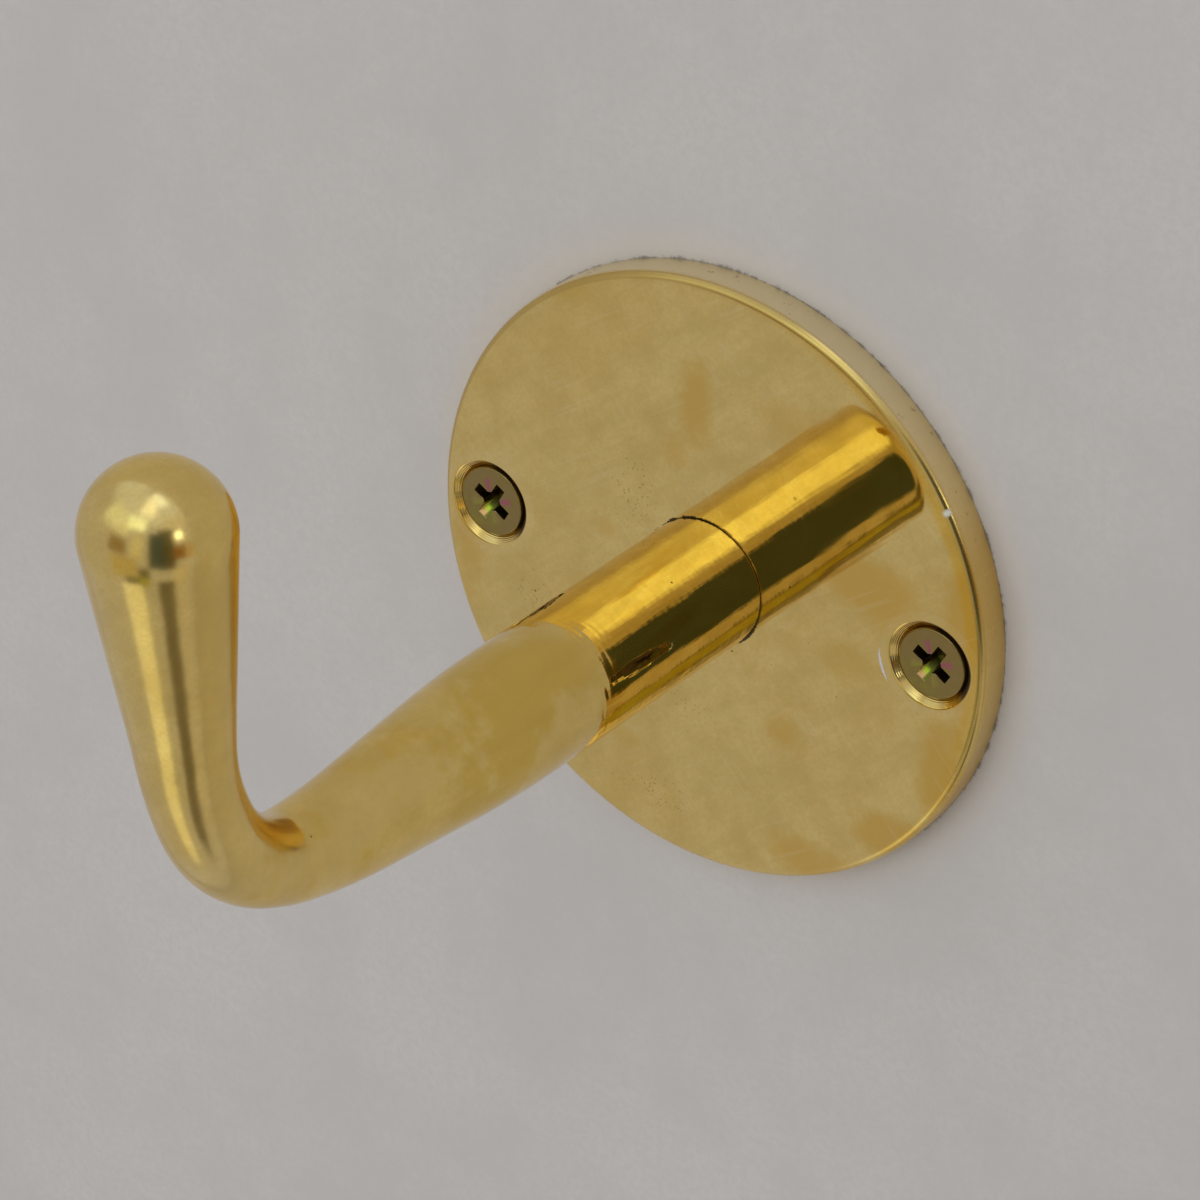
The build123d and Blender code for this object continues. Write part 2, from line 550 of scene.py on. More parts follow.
@dataclass(frozen=True)
class Brass:
    """Polished, unlacquered brass: its colours and its tarnish.

    Attributes:
        clean: Clean metal.
        tarnish: Metal under a cloud of tarnish.
        smoke: Metal under a thin wiped film.
        grime: Dirt in pits and in the seam, and the colour of the painted shade in the
            countersinks.
        roughness: Roughness of the clean metal.
        blotches: Small smoky blotches.
        wiped: Smoky film, drawn out by wiping.
        grain: Fine tarnished grain.
        pits: Cells for each metre and size of the pits.
        clean_way: Way from the arm's middle to the cleaner side of its foot.
    """

    clean: Colour = (0.915, 0.69, 0.24)
    tarnish: Colour = (0.77, 0.49, 0.10)
    smoke: Colour = (0.70, 0.525, 0.165)
    grime: Colour = (0.06, 0.045, 0.025)
    roughness: float = 0.03
    blotches: Mottle = Mottle(260.0, 3.0, 0.68, 0.40, 0.64, 0.30)
    wiped: Mottle = Mottle(1.0, 3.0, 0.68, 0.40, 0.66, 0.34, (70.0, 200.0, 380.0), 0.7)
    grain: Mottle = Mottle(3000.0, 1.0, 0.7, 0.30, 0.72, 0.30)
    pits: tuple[float, float] = (300.0, 0.045)
    clean_way: tuple[float, float] = (0.85, 0.53)

    def clouded(
        self, graph: Graph, where: Socket, base: object, amount: float
    ) -> tuple[Socket, Socket]:
        """Clean metal with a faint uneven film of tarnish and a few pits.

        Args:
            graph: Shader being built.
            where: Object coordinates.
            base: Colour of the clean metal.
            amount: Strongest share of the tarnish.

        Returns:
            Colour, and roughness to add.
        """
        broad = graph.noise(where, 62.0, 3.0, 0.6)
        blotches = self.blotches.noise(graph, where)
        film = graph.ramp(graph.total(broad, graph.product(blotches, 0.35)), 0.56, 0.86)
        pits = graph.product(graph.specks(where, *self.pits), graph.ramp(broad, 0.44, 0.56))
        layers = (
            (graph.product(film, amount), self.tarnish),
            (self.blotches.shown(graph, blotches), self.smoke),
            (self.wiped.share(graph, where), self.smoke),
            (self.grain.share(graph, where), self.tarnish),
            (graph.product(pits, 0.8), self.grime),
        )
        colour = graph.layered(base, *layers)
        return colour, graph.total(graph.product(film, 0.05), graph.product(pits, 0.2))

    def foot_grime(
        self, graph: Graph, x: Socket, z: Socket, most: float, spared: float
    ) -> Socket:
        """Strength of the grime round the arm's foot.

        Args:
            graph: Shader being built.
            x: X of the place.
            z: Z of the place.
            most: Strength all round.
            spared: How much less it is on the cleaner side.

        Returns:
            The strength.
        """
        clean_side = graph.ramp(graph.along(x, z, self.clean_way), 3.0 * MM, 6.0 * MM)
        return graph.less(most, graph.product(clean_side, spared))


@dataclass(frozen=True)
class PlateFinish:
    """Brass of the plate: tarnish clouds, hairlines, grime round the arm's foot, a duller rim, and
    painted shade and highlights.

    Attributes:
        brass: The brass.
        rim: Colour of the dusty rim.
        edge: Darker colour of the upper part of the edge.
        scratch: Colour of the hairlines.
        buffed: Colour of the buffed rings round the screws.
        painted_highlight: Colour of the painted highlight beside the right screw.
        glint_colour: Colour of the painted glint on the edge.
        clouds: Clouds of tarnish.
        specks: Clouds of tiny dark specks.
        dent_highlight: Middle and half size of the painted highlight on a shallow dent's edge
            beside
        the right screw, as angle in degrees round the screw, distance from it, half length and half
        width.
        glint_spot: Place and size of the painted glint on the plate's edge.
        rising: Hairlines in one direction.
        falling: Hairlines in the other.
        strokes: Relief of the polishing strokes.
        shaded_way: Way from each screw's middle to the side of its countersink with painted shade.
    """

    brass: Brass = Brass()
    rim: Colour = (0.89, 0.81, 0.58)
    edge: Colour = (0.62, 0.42, 0.11)
    scratch: Colour = (0.97, 0.80, 0.45)
    buffed: Colour = (0.93, 0.74, 0.32)
    painted_highlight: Colour = (0.98, 0.96, 1.0)
    glint_colour: Colour = (1.0, 0.98, 0.86)
    clouds: tuple[Cloud, ...] = (
        Cloud(-1.4, 18.2, 2.6, 5.5, 0.75),
        Cloud(-3.5, 12.0, 2.0, 2.6, 0.5),
        Cloud(-16.0, 25.0, 4.0, 2.0, 0.45),
        Cloud(9.5, 19.5, 4.5, 2.2, 0.35),
        Cloud(9.0, -12.6, 2.6, 2.2, 0.65),
        Cloud(17.5, 5.2, 7.0, 4.5, 0.8),
        Cloud(15.0, -2.5, 4.5, 3.5, 0.45),
        Cloud(27.6, 4.0, 2.6, 12.0, 0.85),
        Cloud(26.0, -10.5, 3.0, 8.0, 0.9),
        Cloud(21.5, -19.0, 6.5, 3.4, 0.8),
        Cloud(12.0, -25.0, 6.5, 3.0, 0.7),
        Cloud(-27.0, -3.5, 2.6, 11.0, 0.65),
        Cloud(-8.5, -19.5, 3.0, 1.6, 0.4),
        Cloud(-11.0, 1.8, 2.2, 1.6, 0.45),
        Cloud(-14.0, -10.0, 4.0, 1.6, 0.4),
    )
    specks: tuple[Cloud, ...] = (
        Cloud(-8.4, 7.2, 3.6, 5.6, 0.35),
        Cloud(-5.0, -24.0, 5.5, 3.0, 0.3),
        Cloud(-1.5, -13.5, 4.0, 2.5, 0.25),
        Cloud(-19.0, -8.0, 3.5, 5.0, 0.25),
    )
    dent_highlight: tuple[float, float, float, float] = (199.0, 5.35 * MM, 1.8 * MM, 0.16 * MM)
    glint_spot: Cloud = Cloud(25.25, 15.5, 0.45, 0.45, 1.0)
    rising: Mottle = Mottle(1.0, 0.0, 0.55, 0.64, 0.74, 1.0, (90.0, 1.0, 3400.0), 0.6)
    falling: Mottle = Mottle(1.0, 0.0, 0.55, 0.64, 0.74, 1.0, (90.0, 1.0, 3400.0), 2.3)
    strokes: Mottle = Mottle(1.0, 2.0, 0.6, 0.0, 1.0, 1.0, (45.0, 1.0, 620.0), 0.77)
    shaded_way: tuple[float, float] = (0.90, 0.44)

    def hairlines(self, graph: Graph, where: Socket) -> Socket:
        """Fine straight polishing scratches, lying in two directions, each in its own patches."""
        patchy = graph.noise(where, 120.0, 0.0)
        rising = graph.product(self.rising.share(graph, where), graph.ramp(patchy, 0.46, 0.60))
        falling = graph.product(self.falling.share(graph, where), graph.ramp(patchy, 0.54, 0.40))
        return graph.math("MAXIMUM", rising, falling)

    def painted_dent_highlight(self, graph: Graph, x: Socket, z: Socket) -> Socket:
        """Painted highlight on a shallow dent's edge: a pale crescent round the screw at one
        distance, widest at its middle.
        """
        angle, distance, half_length, half_width = self.dent_highlight
        off_x = graph.less(x, SCREW_X)
        cosine, sine = math.cos(math.radians(angle)), math.sin(math.radians(angle))
        outward = graph.along(off_x, z, (cosine, sine))
        along = graph.along(off_x, z, (-sine, cosine))
        off_ring = graph.apart(graph.distance(off_x, z), distance)
        ends = graph.product(graph.product(along, along), half_width / half_length**2)
        crescent = graph.ramp(graph.total(off_ring, ends), half_width, half_width * 0.7)
        return graph.product(crescent, graph.ramp(outward, 0.0, MM))

    def screw_ring(self, graph: Graph, x: Socket, z: Socket) -> tuple[Socket, Socket]:
        """Painted shade in the upper right part of each countersink, by the sunk head's shadowed
        gap, and the buffed ring round its mouth.
        """
        off_x = graph.less(x, graph.product(graph.math("SIGN", x), SCREW_X))
        away = graph.distance(off_x, z)
        lean = graph.math("DIVIDE", graph.along(off_x, z, self.shaded_way), away)
        # Painted shade where the countersink's upper right part lies in the sunk head's shadow
        dirt_and_shade = graph.product(
            graph.ramp(lean, 0.20, 0.62),
            graph.ramp(away, MOUTH_RADIUS + 0.02 * MM, MOUTH_RADIUS - 0.15 * MM),
        )
        buffed = graph.product(
            graph.ramp(away, MOUTH_RADIUS + 1.1 * MM, MOUTH_RADIUS + 0.8 * MM),
            graph.ramp(away, MOUTH_RADIUS, MOUTH_RADIUS + 0.2 * MM),
        )
        return dirt_and_shade, buffed

    def tarnished(self, graph: Graph, where: Socket, ragged: Socket, colour: Socket) -> Socket:
        """Lays the clouds of tarnish, the specks and the hairlines over the metal.

        Args:
            graph: Shader being built.
            where: Object coordinates.
            ragged: Noise around zero, for the clouds' edges.
            colour: Colour of the metal.

        Returns:
            The colour.
        """
        x, _, z = graph.axes(where)
        for cloud in self.clouds:
            share = cloud.share(graph, x, z, ragged)
            colour = graph.blend(share, colour, self.brass.tarnish)
        dots = graph.specks(where, 2100.0, 0.26)
        for cloud in self.specks:
            share = graph.product(cloud.share(graph, x, z, ragged), dots)
            colour = graph.blend(share, colour, self.brass.grime)
        lines = graph.product(self.hairlines(graph, where), 0.12)
        return graph.blend(lines, colour, self.scratch)

    def darker_upper_edge(self, graph: Graph, away: Socket, y: Socket, z: Socket) -> Socket:
        """Share of the darker band along the upper part of the plate's edge."""
        return graph.product(
            graph.ramp(away, PLATE_RADIUS - 0.75 * MM, PLATE_RADIUS - 0.5 * MM),
            graph.ramp(y, FACE_Y + 0.95 * MM, FACE_Y + 0.6 * MM),
            graph.ramp(z, -14.0 * MM, 4.0 * MM),
            0.75,
        )

    def material(self, name: str) -> bpy.types.Material:
        """Builds the material.

        Args:
            name: Name of the material.

        Returns:
            The material.
        """
        material = bpy.data.materials.new(name)
        graph = Graph(material)
        where = graph.add("ShaderNodeTexCoord").outputs["Object"]
        x, y, z = graph.axes(where)
        away = graph.distance(x, z)
        colour, dull = self.brass.clouded(graph, where, self.brass.clean, 0.38)
        ragged = graph.around_zero(graph.noise(where, 190.0, 3.0, 0.65), 1.5)
        colour = self.tarnished(graph, where, ragged, colour)

        crumbly = graph.noise(where, 850.0, 3.0, 0.7)
        seam = BAR_RADIUS + 0.10 * MM
        jagged = graph.total(away, graph.around_zero(crumbly, 0.9 * MM))
        grime = graph.ramp(jagged, seam + 0.10 * MM, seam)
        grime = graph.product(grime, self.brass.foot_grime(graph, x, z, 0.92, 0.45))
        # Painted shade in the upper right part of each countersink, where the sunk head leaves a
        # shadowed gap; buffed rings round the mouths
        dirt_and_shade, buffed = self.screw_ring(graph, x, z)
        # Painted highlight: a pale crescent on the edge of a shallow dent beside the right screw
        dent_highlight = self.painted_dent_highlight(graph, x, z)

        side = graph.product(
            graph.ramp(y, FACE_Y + 0.5 * MM, FACE_Y + 1.0 * MM),
            graph.ramp(away, PLATE_RADIUS - 0.6 * MM, PLATE_RADIUS - 0.2 * MM),
        )
        flecks = graph.product(graph.ramp(crumbly, 0.62, 0.72), 0.6)
        dusty = graph.blend(flecks, self.rim, self.brass.grime)
        dust = graph.total(0.12, graph.product(graph.ramp(z, 8.0 * MM, 29.0 * MM), 0.6))
        # Painted glint on a small spot of the plate's upper right edge
        glint = graph.product(
            self.glint_spot.share(graph, x, z, graph.product(ragged, 0.3)),
            graph.ramp(y, FACE_Y + 0.75 * MM, FACE_Y + 0.5 * MM),
        )
        layers = (
            (grime, self.brass.grime),
            (graph.product(buffed, 0.16), self.buffed),
            # Painted shade in the countersinks
            (graph.product(dirt_and_shade, 0.9), self.brass.grime),
            # Painted highlight beside the right screw
            (dent_highlight, self.painted_highlight),
            (self.darker_upper_edge(graph, away, y, z), self.edge),
            (graph.product(side, 0.30), self.brass.tarnish),
            (graph.product(side, dust), dusty),
            # Painted glint on the edge
            (glint, self.glint_colour),
        )
        colour = graph.layered(colour, *layers)

        near_edge = graph.ramp(away, PLATE_RADIUS - 1.5 * MM, PLATE_RADIUS - 0.8 * MM)
        roughness = graph.total(
            dull,
            self.brass.roughness,
            graph.product(side, 0.12),
            graph.product(near_edge, 0.18),
            graph.product(graph.math("MAXIMUM", grime, dirt_and_shade), 0.35),
            graph.product(graph.math("MAXIMUM", dent_highlight, glint), 0.6),
        )
        waves = graph.bump(graph.noise(where, 120.0, 1.0, 0.5), 0.03 * MM)
        inner = graph.ramp(away, 26.5 * MM, 21.0 * MM)
        strokes = graph.product(self.strokes.noise(graph, where), inner)
        graph.metal(colour, roughness, graph.bump(strokes, 0.014 * MM, waves))
        return material


@dataclass(frozen=True)
class ArmFinish:
    """Brass of the arm: turning lines round it, streaks at its foot, a softer shine at its end.

    Attributes:
        brass: The brass.
        clean: Clean metal of this bar, a little redder than the plate.
        wiped: Paler metal in streaks wiped along its middle.
        stain: Tarnish of the middle, where it is handled.
        wipes: Streaks of the paler metal.
        stains: Blotches of the tarnish.
        ring_scale: Scale of the turning lines across the bar and along it.
        soft_from: Distance along the arm from which its shine softens.
        soft_to: Distance at which it is softest.
        soft_roughness: Roughness there.
    """

    brass: Brass = Brass()
    clean: Colour = (0.91, 0.685, 0.225)
    wiped: Colour = (0.94, 0.76, 0.36)
    stain: Colour = (0.76, 0.52, 0.10)
    wipes: Mottle = Mottle(1.0, 2.0, 0.6, 0.44, 0.64, 0.3, (90.0, 34.0, 120.0))
    stains: Mottle = Mottle(96.0, 4.0, 0.66, 0.46, 0.60, 0.8)
    ring_scale: tuple[float, float] = (260.0, 2000.0)
    soft_from: float = 30.0 * MM
    soft_to: float = 70.0 * MM
    soft_roughness: float = 0.15

    def relief(self, graph: Graph, where: Socket, along: Socket, soft: Socket) -> Socket:
        """Normal of the arm's waves, streaks and turning lines.

        Args:
            graph: Shader being built.
            where: Object coordinates.
            along: Distance along the arm.
            soft: How far the shine has softened, from 0 to 1.

        Returns:
            The normal.
        """
        x, _, z = graph.axes(where)
        firm = graph.less(1.0, soft)
        normal = graph.bump(graph.noise(where, 150.0, 2.0, 0.55), 0.09 * MM)
        streaks = graph.noise(graph.stretched(where, (1.0, 0.12, 1.0)), 1300.0, 2.0, 0.6)
        normal = graph.bump(graph.product(streaks, firm), 0.02 * MM, normal)
        across, length = self.ring_scale
        inputs = {0: graph.product(x, across), 1: graph.product(along, length)}
        inputs[2] = graph.product(z, across)
        ring = graph.add("ShaderNodeCombineXYZ", inputs).outputs[0]
        fading = graph.total(0.25, graph.product(firm, 0.75))
        rings = graph.product(graph.noise(ring, 1.0, 0.0), fading)
        return graph.bump(rings, 0.007 * MM, normal)

    def material(self, name: str) -> bpy.types.Material:
        """Builds the material.

        Args:
            name: Name of the material.

        Returns:
            The material.
        """
        material = bpy.data.materials.new(name)
        graph = Graph(material)
        place = graph.add("ShaderNodeTexCoord").outputs
        where = place["Object"]
        x, y, z = graph.axes(where)
        along = graph.axes(place["UV"])["Y"]
        colour, dull = self.brass.clouded(graph, where, self.clean, 0.40)
        handled = graph.product(
            graph.ramp(along, 18.0 * MM, 28.0 * MM), graph.ramp(along, 90.0 * MM, 60.0 * MM)
        )
        jagged = graph.total(y, graph.around_zero(graph.noise(where, 800.0, 4.0, 0.7), 0.9 * MM))
        grime = graph.ramp(jagged, FACE_Y - 0.22 * MM, FACE_Y - 0.06 * MM)
        grime = graph.product(grime, self.brass.foot_grime(graph, x, z, 0.85, 0.6))
        layers = (
            (graph.product(self.wipes.share(graph, where), handled), self.wiped),
            (graph.product(self.stains.share(graph, where), handled), self.stain),
            (grime, self.brass.grime),
        )
        colour = graph.layered(colour, *layers)
        soft = graph.ramp(along, self.soft_from, self.soft_to)
        roughness = graph.total(
            dull,
            self.brass.roughness,
            graph.product(soft, self.soft_roughness),
            graph.product(grime, 0.4),
        )
        graph.metal(colour, roughness, self.relief(graph, where, along, soft))
        return material


@dataclass(frozen=True)
class ZincFinish:
    """Yellow zinc plating of a screw, with its shimmer, and painted shade and a painted highlight
    in its cross recess.

    Attributes:
        turn: Angle of the recess in degrees.
        recess_end: Distance along the profile at which the recess meets the head's top.
        olive: Main colour.
        brown: Browner shimmer of the upper half.
        lime: Greener shimmer of the lower marks.
        pink: Pink shimmer of the upper marks.
        hollow: Painted shade inside the recess.
        lit: Painted light inside its lowest arm.
        floor_low: Painted highlight on that arm's floor near the middle.
        floor_high: Painted highlight on the floor towards the arm's end.
        roughness: Roughness.
    """

    turn: float
    recess_end: float = 3.09 * MM
    olive: Colour = (0.34, 0.25, 0.075)
    brown: Colour = (0.36, 0.21, 0.12)
    lime: Colour = (0.36, 0.42, 0.03)
    pink: Colour = (0.46, 0.17, 0.17)
    hollow: Colour = (0.06, 0.04, 0.015)
    lit: Colour = (0.18, 0.20, 0.025)
    floor_low: Colour = (0.50, 0.66, 0.03)
    floor_high: Colour = (0.72, 0.40, 0.14)
    roughness: float = 0.3

    def near_angle(self, graph: Graph, turns: Socket, angle: float, reach: float) -> Socket:
        """Share that falls from 1 at an angle round the screw to 0 a reach away.

        Args:
            graph: Shader being built.
            turns: Angle of the place, in turns.
            angle: The angle in degrees.
            reach: The reach in degrees.

        Returns:
            The share.
        """
        off = graph.math("FRACT", graph.total(graph.less(turns, angle / 360.0), 0.5))
        return graph.ramp(graph.apart(off, 0.5), reach / 360.0, reach / 720.0)

    def recess(self, graph: Graph, turns: Socket, reach: Socket) -> Socket:
        """Colour inside the recess: painted shade, but for painted light in its lowest arm and a
        painted highlight on that arm's floor.
        """
        # Painted light in the lowest arm and a painted highlight on its floor; the rest of the
        # recess is painted shade
        lit_arm = self.near_angle(graph, turns, self.turn + 270.0, 44.0)
        lit_floor = graph.product(
            self.near_angle(graph, turns, self.turn + 262.0, 17.0),
            graph.ramp(reach, 1.7 * MM, 2.2 * MM),
        )
        outer = graph.ramp(reach, 2.1 * MM, 2.9 * MM)
        glint = graph.blend(outer, self.floor_low, self.floor_high)
        depth = graph.blend(graph.product(lit_arm, 0.7), self.hollow, self.lit)
        return graph.blend(lit_floor, depth, glint)

    def material(self, name: str) -> bpy.types.Material:
        """Builds the material.

        A mark lies half way between each two arms of the recess. Its shimmer is pink in the upper
        half and lime in the lower; inside the recess the metal is painted dark as shade, but for
        painted light in the lowest arm and a painted highlight on its floor, which goes from lime
        through yellow to orange.

        Args:
            name: Name of the material.

        Returns:
            The material.
        """
        material = bpy.data.materials.new(name)
        graph = Graph(material)
        place = graph.add("ShaderNodeTexCoord").outputs
        where = place["Object"]
        turns, reach = graph.axes(place["UV"])[0:2]
        end = self.recess_end
        quarter = graph.product(graph.less(turns, self.turn / 360.0), 4.0)
        off_mark = graph.apart(graph.math("FRACT", quarter), 0.5)
        wobble = graph.around_zero(graph.noise(where, 2600.0, 3.0), 0.16)
        near_mark = graph.product(
            graph.ramp(graph.total(off_mark, wobble), 0.17, 0.05),
            graph.ramp(reach, end + 0.85 * MM, end + 0.55 * MM),
        )
        mark = graph.product(
            graph.ramp(off_mark, 0.045, 0.02),
            graph.ramp(reach, end + 0.85 * MM, end + 0.75 * MM),
        )
        upper = self.near_angle(graph, turns, self.turn + 90.0, 170.0)
        mottle = graph.noise(where, 1300.0, 3.0)
        colour = graph.blend(graph.ramp(mottle, 0.40, 0.70), self.olive, self.lime)
        colour = graph.blend(0.72, colour, self.olive)
        layers = (
            (graph.product(upper, graph.ramp(mottle, 0.35, 0.6), 0.4), self.brown),
            (near_mark, graph.blend(upper, self.lime, self.pink)),
            # Inside the recess: painted shade, with painted light and a painted highlight in its
            # lowest arm
            (
                graph.ramp(reach, end + 0.02 * MM, end - 0.12 * MM),
                self.recess(graph, turns, reach),
            ),
        )
        colour = graph.layered(colour, *layers)
        normal = graph.bump(graph.noise(where, 5200.0, 2.0), 0.004 * MM)
        graph.metal(colour, self.roughness, graph.bump(mark, 0.02 * MM, normal))
        return material


@dataclass(frozen=True)
class PlasterFinish:
    """Pale plaster of the wall, with a dirty joint round the plate and painted warm light of the
    brass near it.

    The wall's back is clear, so that the hook is seen from behind it.

    Attributes:
        colour: Main colour.
        shade: Darker share of its mottling.
        painted_glow: Painted warm light of the brass on the wall close to it.
        dirt_and_shade: Colour of the dirty joint.
        mottle: Broad mottling.
        fine: Fine mottling.
    """

    colour: Colour = (0.432, 0.413, 0.383)
    shade: Colour = (0.392, 0.375, 0.348)
    painted_glow: Colour = (0.44, 0.40, 0.33)
    dirt_and_shade: Colour = (0.12, 0.11, 0.10)
    mottle: Mottle = Mottle(34.0, 4.0, 0.75, 0.36, 0.66, 0.8)
    fine: Mottle = Mottle(1100.0, 2.0, 0.75, 0.32, 0.68, 0.65)

    def wall_material(self, name: str) -> bpy.types.Material:
        """Builds the wall's material.

        Args:
            name: Name of the material.

        Returns:
            The material.
        """
        material = bpy.data.materials.new(name)
        graph = Graph(material)
        where = graph.add("ShaderNodeTexCoord").outputs["Object"]
        x, _, z = graph.axes(where)
        away = graph.less(graph.distance(x, z), PLATE_RADIUS)
        crumbly = graph.noise(where, 620.0, 3.0, 0.8)
        jagged = graph.total(away, graph.product(crumbly, 1.5 * MM))
        joint = graph.ramp(jagged, 0.95 * MM, 0.60 * MM)
        crumbs = graph.product(
            graph.ramp(crumbly, 0.70, 0.78), graph.ramp(away, 2.5 * MM, 0.2 * MM), 0.35
        )
        layers = (
            (self.mottle.share(graph, where), self.shade),
            (self.fine.share(graph, where), self.shade),
            # Painted warm light that the brass throws on the wall close to the plate
            (graph.product(graph.ramp(away, 5.0 * MM, 0.2 * MM), 0.5), self.painted_glow),
            (graph.product(graph.math("MAXIMUM", joint, crumbs), 0.7), self.dirt_and_shade),
        )
        colour = graph.layered(self.colour, *layers)
        surface = graph.add("ShaderNodeBsdfDiffuse", {"Color": colour}).outputs[0]
        back = graph.add("ShaderNodeNewGeometry").outputs["Backfacing"]
        clear = graph.add("ShaderNodeBsdfTransparent").outputs[0]
        surface = graph.add("ShaderNodeMixShader", {0: back, 1: surface, 2: clear}).outputs[0]
        graph.add("ShaderNodeOutputMaterial", {"Surface": surface})
        return material

    def floor_material(self, name: str) -> bpy.types.Material:
        """Builds a plain material of the same plaster, for the floor.

        Args:
            name: Name of the material.

        Returns:
            The material.
        """
        material = bpy.data.materials.new(name)
        graph = Graph(material)
        where = graph.add("ShaderNodeTexCoord").outputs["Object"]
        colour = graph.blend(graph.noise(where, 12.0, 1.0), self.colour, self.shade)
        surface = graph.add("ShaderNodeBsdfDiffuse", {"Color": colour}).outputs[0]
        graph.add("ShaderNodeOutputMaterial", {"Surface": surface})
        return material


# The hook


@dataclass
class BackPlate:
    """Round plate: its polished face rolls off towards a rounded edge, and three holes pierce it.

    Attributes:
        radius: Radius of the plate.
        thickness: Its thickness.
        front_round: Radius of the rounded front edge.
        roll_start: Radius at which the face starts to roll off.
        roll_angle: Slope in degrees with which the roll-off meets the rounded edge.
        back_round: Radius of the back edge.
        hole_x: Distance of each wall screw from the middle.
        mouth: Radius of the countersinks' mouths.
        lip: Radius that softens each mouth.
        bore: Radius of the wall screws' holes.
        groove_pitch: Distance between the turning lines in the countersinks.
        groove_depth: Their height.
        groove_end: Radius down to which they are cut.
        back_mouth: Radius of the arm screw's countersink.
        back_bore: Radius of the arm screw's hole.
        inset: Width of the narrow ring that keeps the flat faces' shading flat.
    """

    radius: float = PLATE_RADIUS
    thickness: float = PLATE_THICKNESS
    front_round: float = 0.9 * MM
    roll_start: float = 27.0 * MM
    roll_angle: float = 9.0
    back_round: float = 0.12 * MM
    hole_x: float = SCREW_X
    mouth: float = MOUTH_RADIUS
    lip: float = 0.36 * MM
    bore: float = 2.1 * MM
    groove_pitch: float = 0.2 * MM
    groove_depth: float = 0.008 * MM
    groove_end: float = 3.3 * MM
    back_mouth: float = 5.1 * MM
    back_bore: float = 2.75 * MM
    inset: float = 0.04 * MM

    def roll_end(self) -> float:
        """Radius at which the roll-off meets the rounded edge."""
        return self.radius - self.front_round * (1 - math.sin(math.radians(self.roll_angle)))

    def mouth_end(self) -> float:
        """Radius at which the softened lip of a countersink meets the flat face.

        The lip touches the face and the cone, so it reaches past the mouth by its radius times
        the tangent of half the angle between them.
        """
        return self.mouth + math.tan(math.radians(45.0) / 2) * self.lip

    def drop(self, radius: np.ndarray | float) -> np.ndarray:
        """Depth of the rolled-off face below the flat one.

        The slope grows with the square of the distance from where the roll-off starts, so the
        depth grows with its cube, up to the last slope.

        Args:
            radius: Distances from the plate's middle.

        Returns:
            The depths.
        """
        width = self.roll_end() - self.roll_start
        share = np.clip((radius - self.roll_start) / width, 0.0, None)
        return math.tan(math.radians(self.roll_angle)) * width * share**3 / 3

    def rolled(self, sheet: Sheet) -> Sheet:
        """Lowers the front of a sheet by the roll-off, which fades out 1 mm below the face."""
        away = np.hypot(sheet.points[:, 0], sheet.points[:, 2])
        share = np.clip((-sheet.points[:, 1] - self.thickness + MM) / MM, 0.0, 1.0)
        points = sheet.points.copy()
        points[:, 1] += self.drop(away) * share
        return Sheet(points, sheet.faces, sheet.uv)

    def edge_sheet(self) -> Sheet:
        """Rim of the plate, turned about Y: the rounded edge, the side and a small round."""
        slope = math.radians(self.roll_angle)
        top = self.thickness - float(self.drop(self.roll_end()))
        centre = (self.radius - self.front_round, top - self.front_round * math.cos(slope))
        back = self.radius - self.back_round
        profile = np.concatenate(
            [
                arc(centre, self.front_round, 90.0 - self.roll_angle, 0.0, 20),
                arc((back, self.back_round), self.back_round, 0.0, -90.0, 4),
                [[back - self.inset, 0.0]],
            ]
        )
        angle = even_turn(RIM_COLUMNS)
        return turned_sheet(profile[:, :1], profile[:, 1:], angle, (0.0, 0.0, 0.0), -1.0)

    def wall_screw_hole(self, x: float) -> Sheet:
        """Countersunk hole: a softened mouth, a right-angled cone with turning lines, and a bore.

        Along the cone, the turning lines push the surface out by a sine of the distance.

        Args:
            x: Where its axis lies.

        Returns:
            The sheet.
        """
        outer = self.mouth_end()
        lip = arc((outer, self.thickness - self.lip), self.lip, 90.0, 135.0, 8)
        length = (lip[-1, 0] - self.groove_end) * math.sqrt(2)
        along = np.arange(self.groove_pitch / 10, length, self.groove_pitch / 10)
        wave = self.groove_depth * np.sin(along * 2 * np.pi / self.groove_pitch)
        cone = lip[-1] + np.stack([-along - wave, -along + wave], axis=1) / math.sqrt(2)
        profile = np.concatenate(
            [
                [[outer + self.inset, self.thickness]],
                lip,
                cone,
                [[self.bore, self.thickness - (self.mouth - self.bore)]],
                [[self.bore, 0.0], [self.bore + self.inset, 0.0]],
            ]
        )
        angle = even_turn(HOLE_COLUMNS)
        return turned_sheet(profile[:, :1], profile[:, 1:], angle, (x, 0.0, 0.0), -1.0)

    def arm_screw_hole(self) -> Sheet:
        """Countersunk hole in the back: a bore and a right-angled cone, turned about Y."""
        profile = np.array(
            [
                [self.back_bore + self.inset, self.thickness],
                [self.back_bore, self.thickness],
                [self.back_bore, self.back_mouth - self.back_bore],
                [self.back_mouth, 0.0],
                [self.back_mouth + self.inset, 0.0],
            ]
        )
        angle = even_turn(ARM_HOLE_COLUMNS)
        return turned_sheet(profile[:, :1], profile[:, 1:], angle, (0.0, 0.0, 0.0), -1.0)

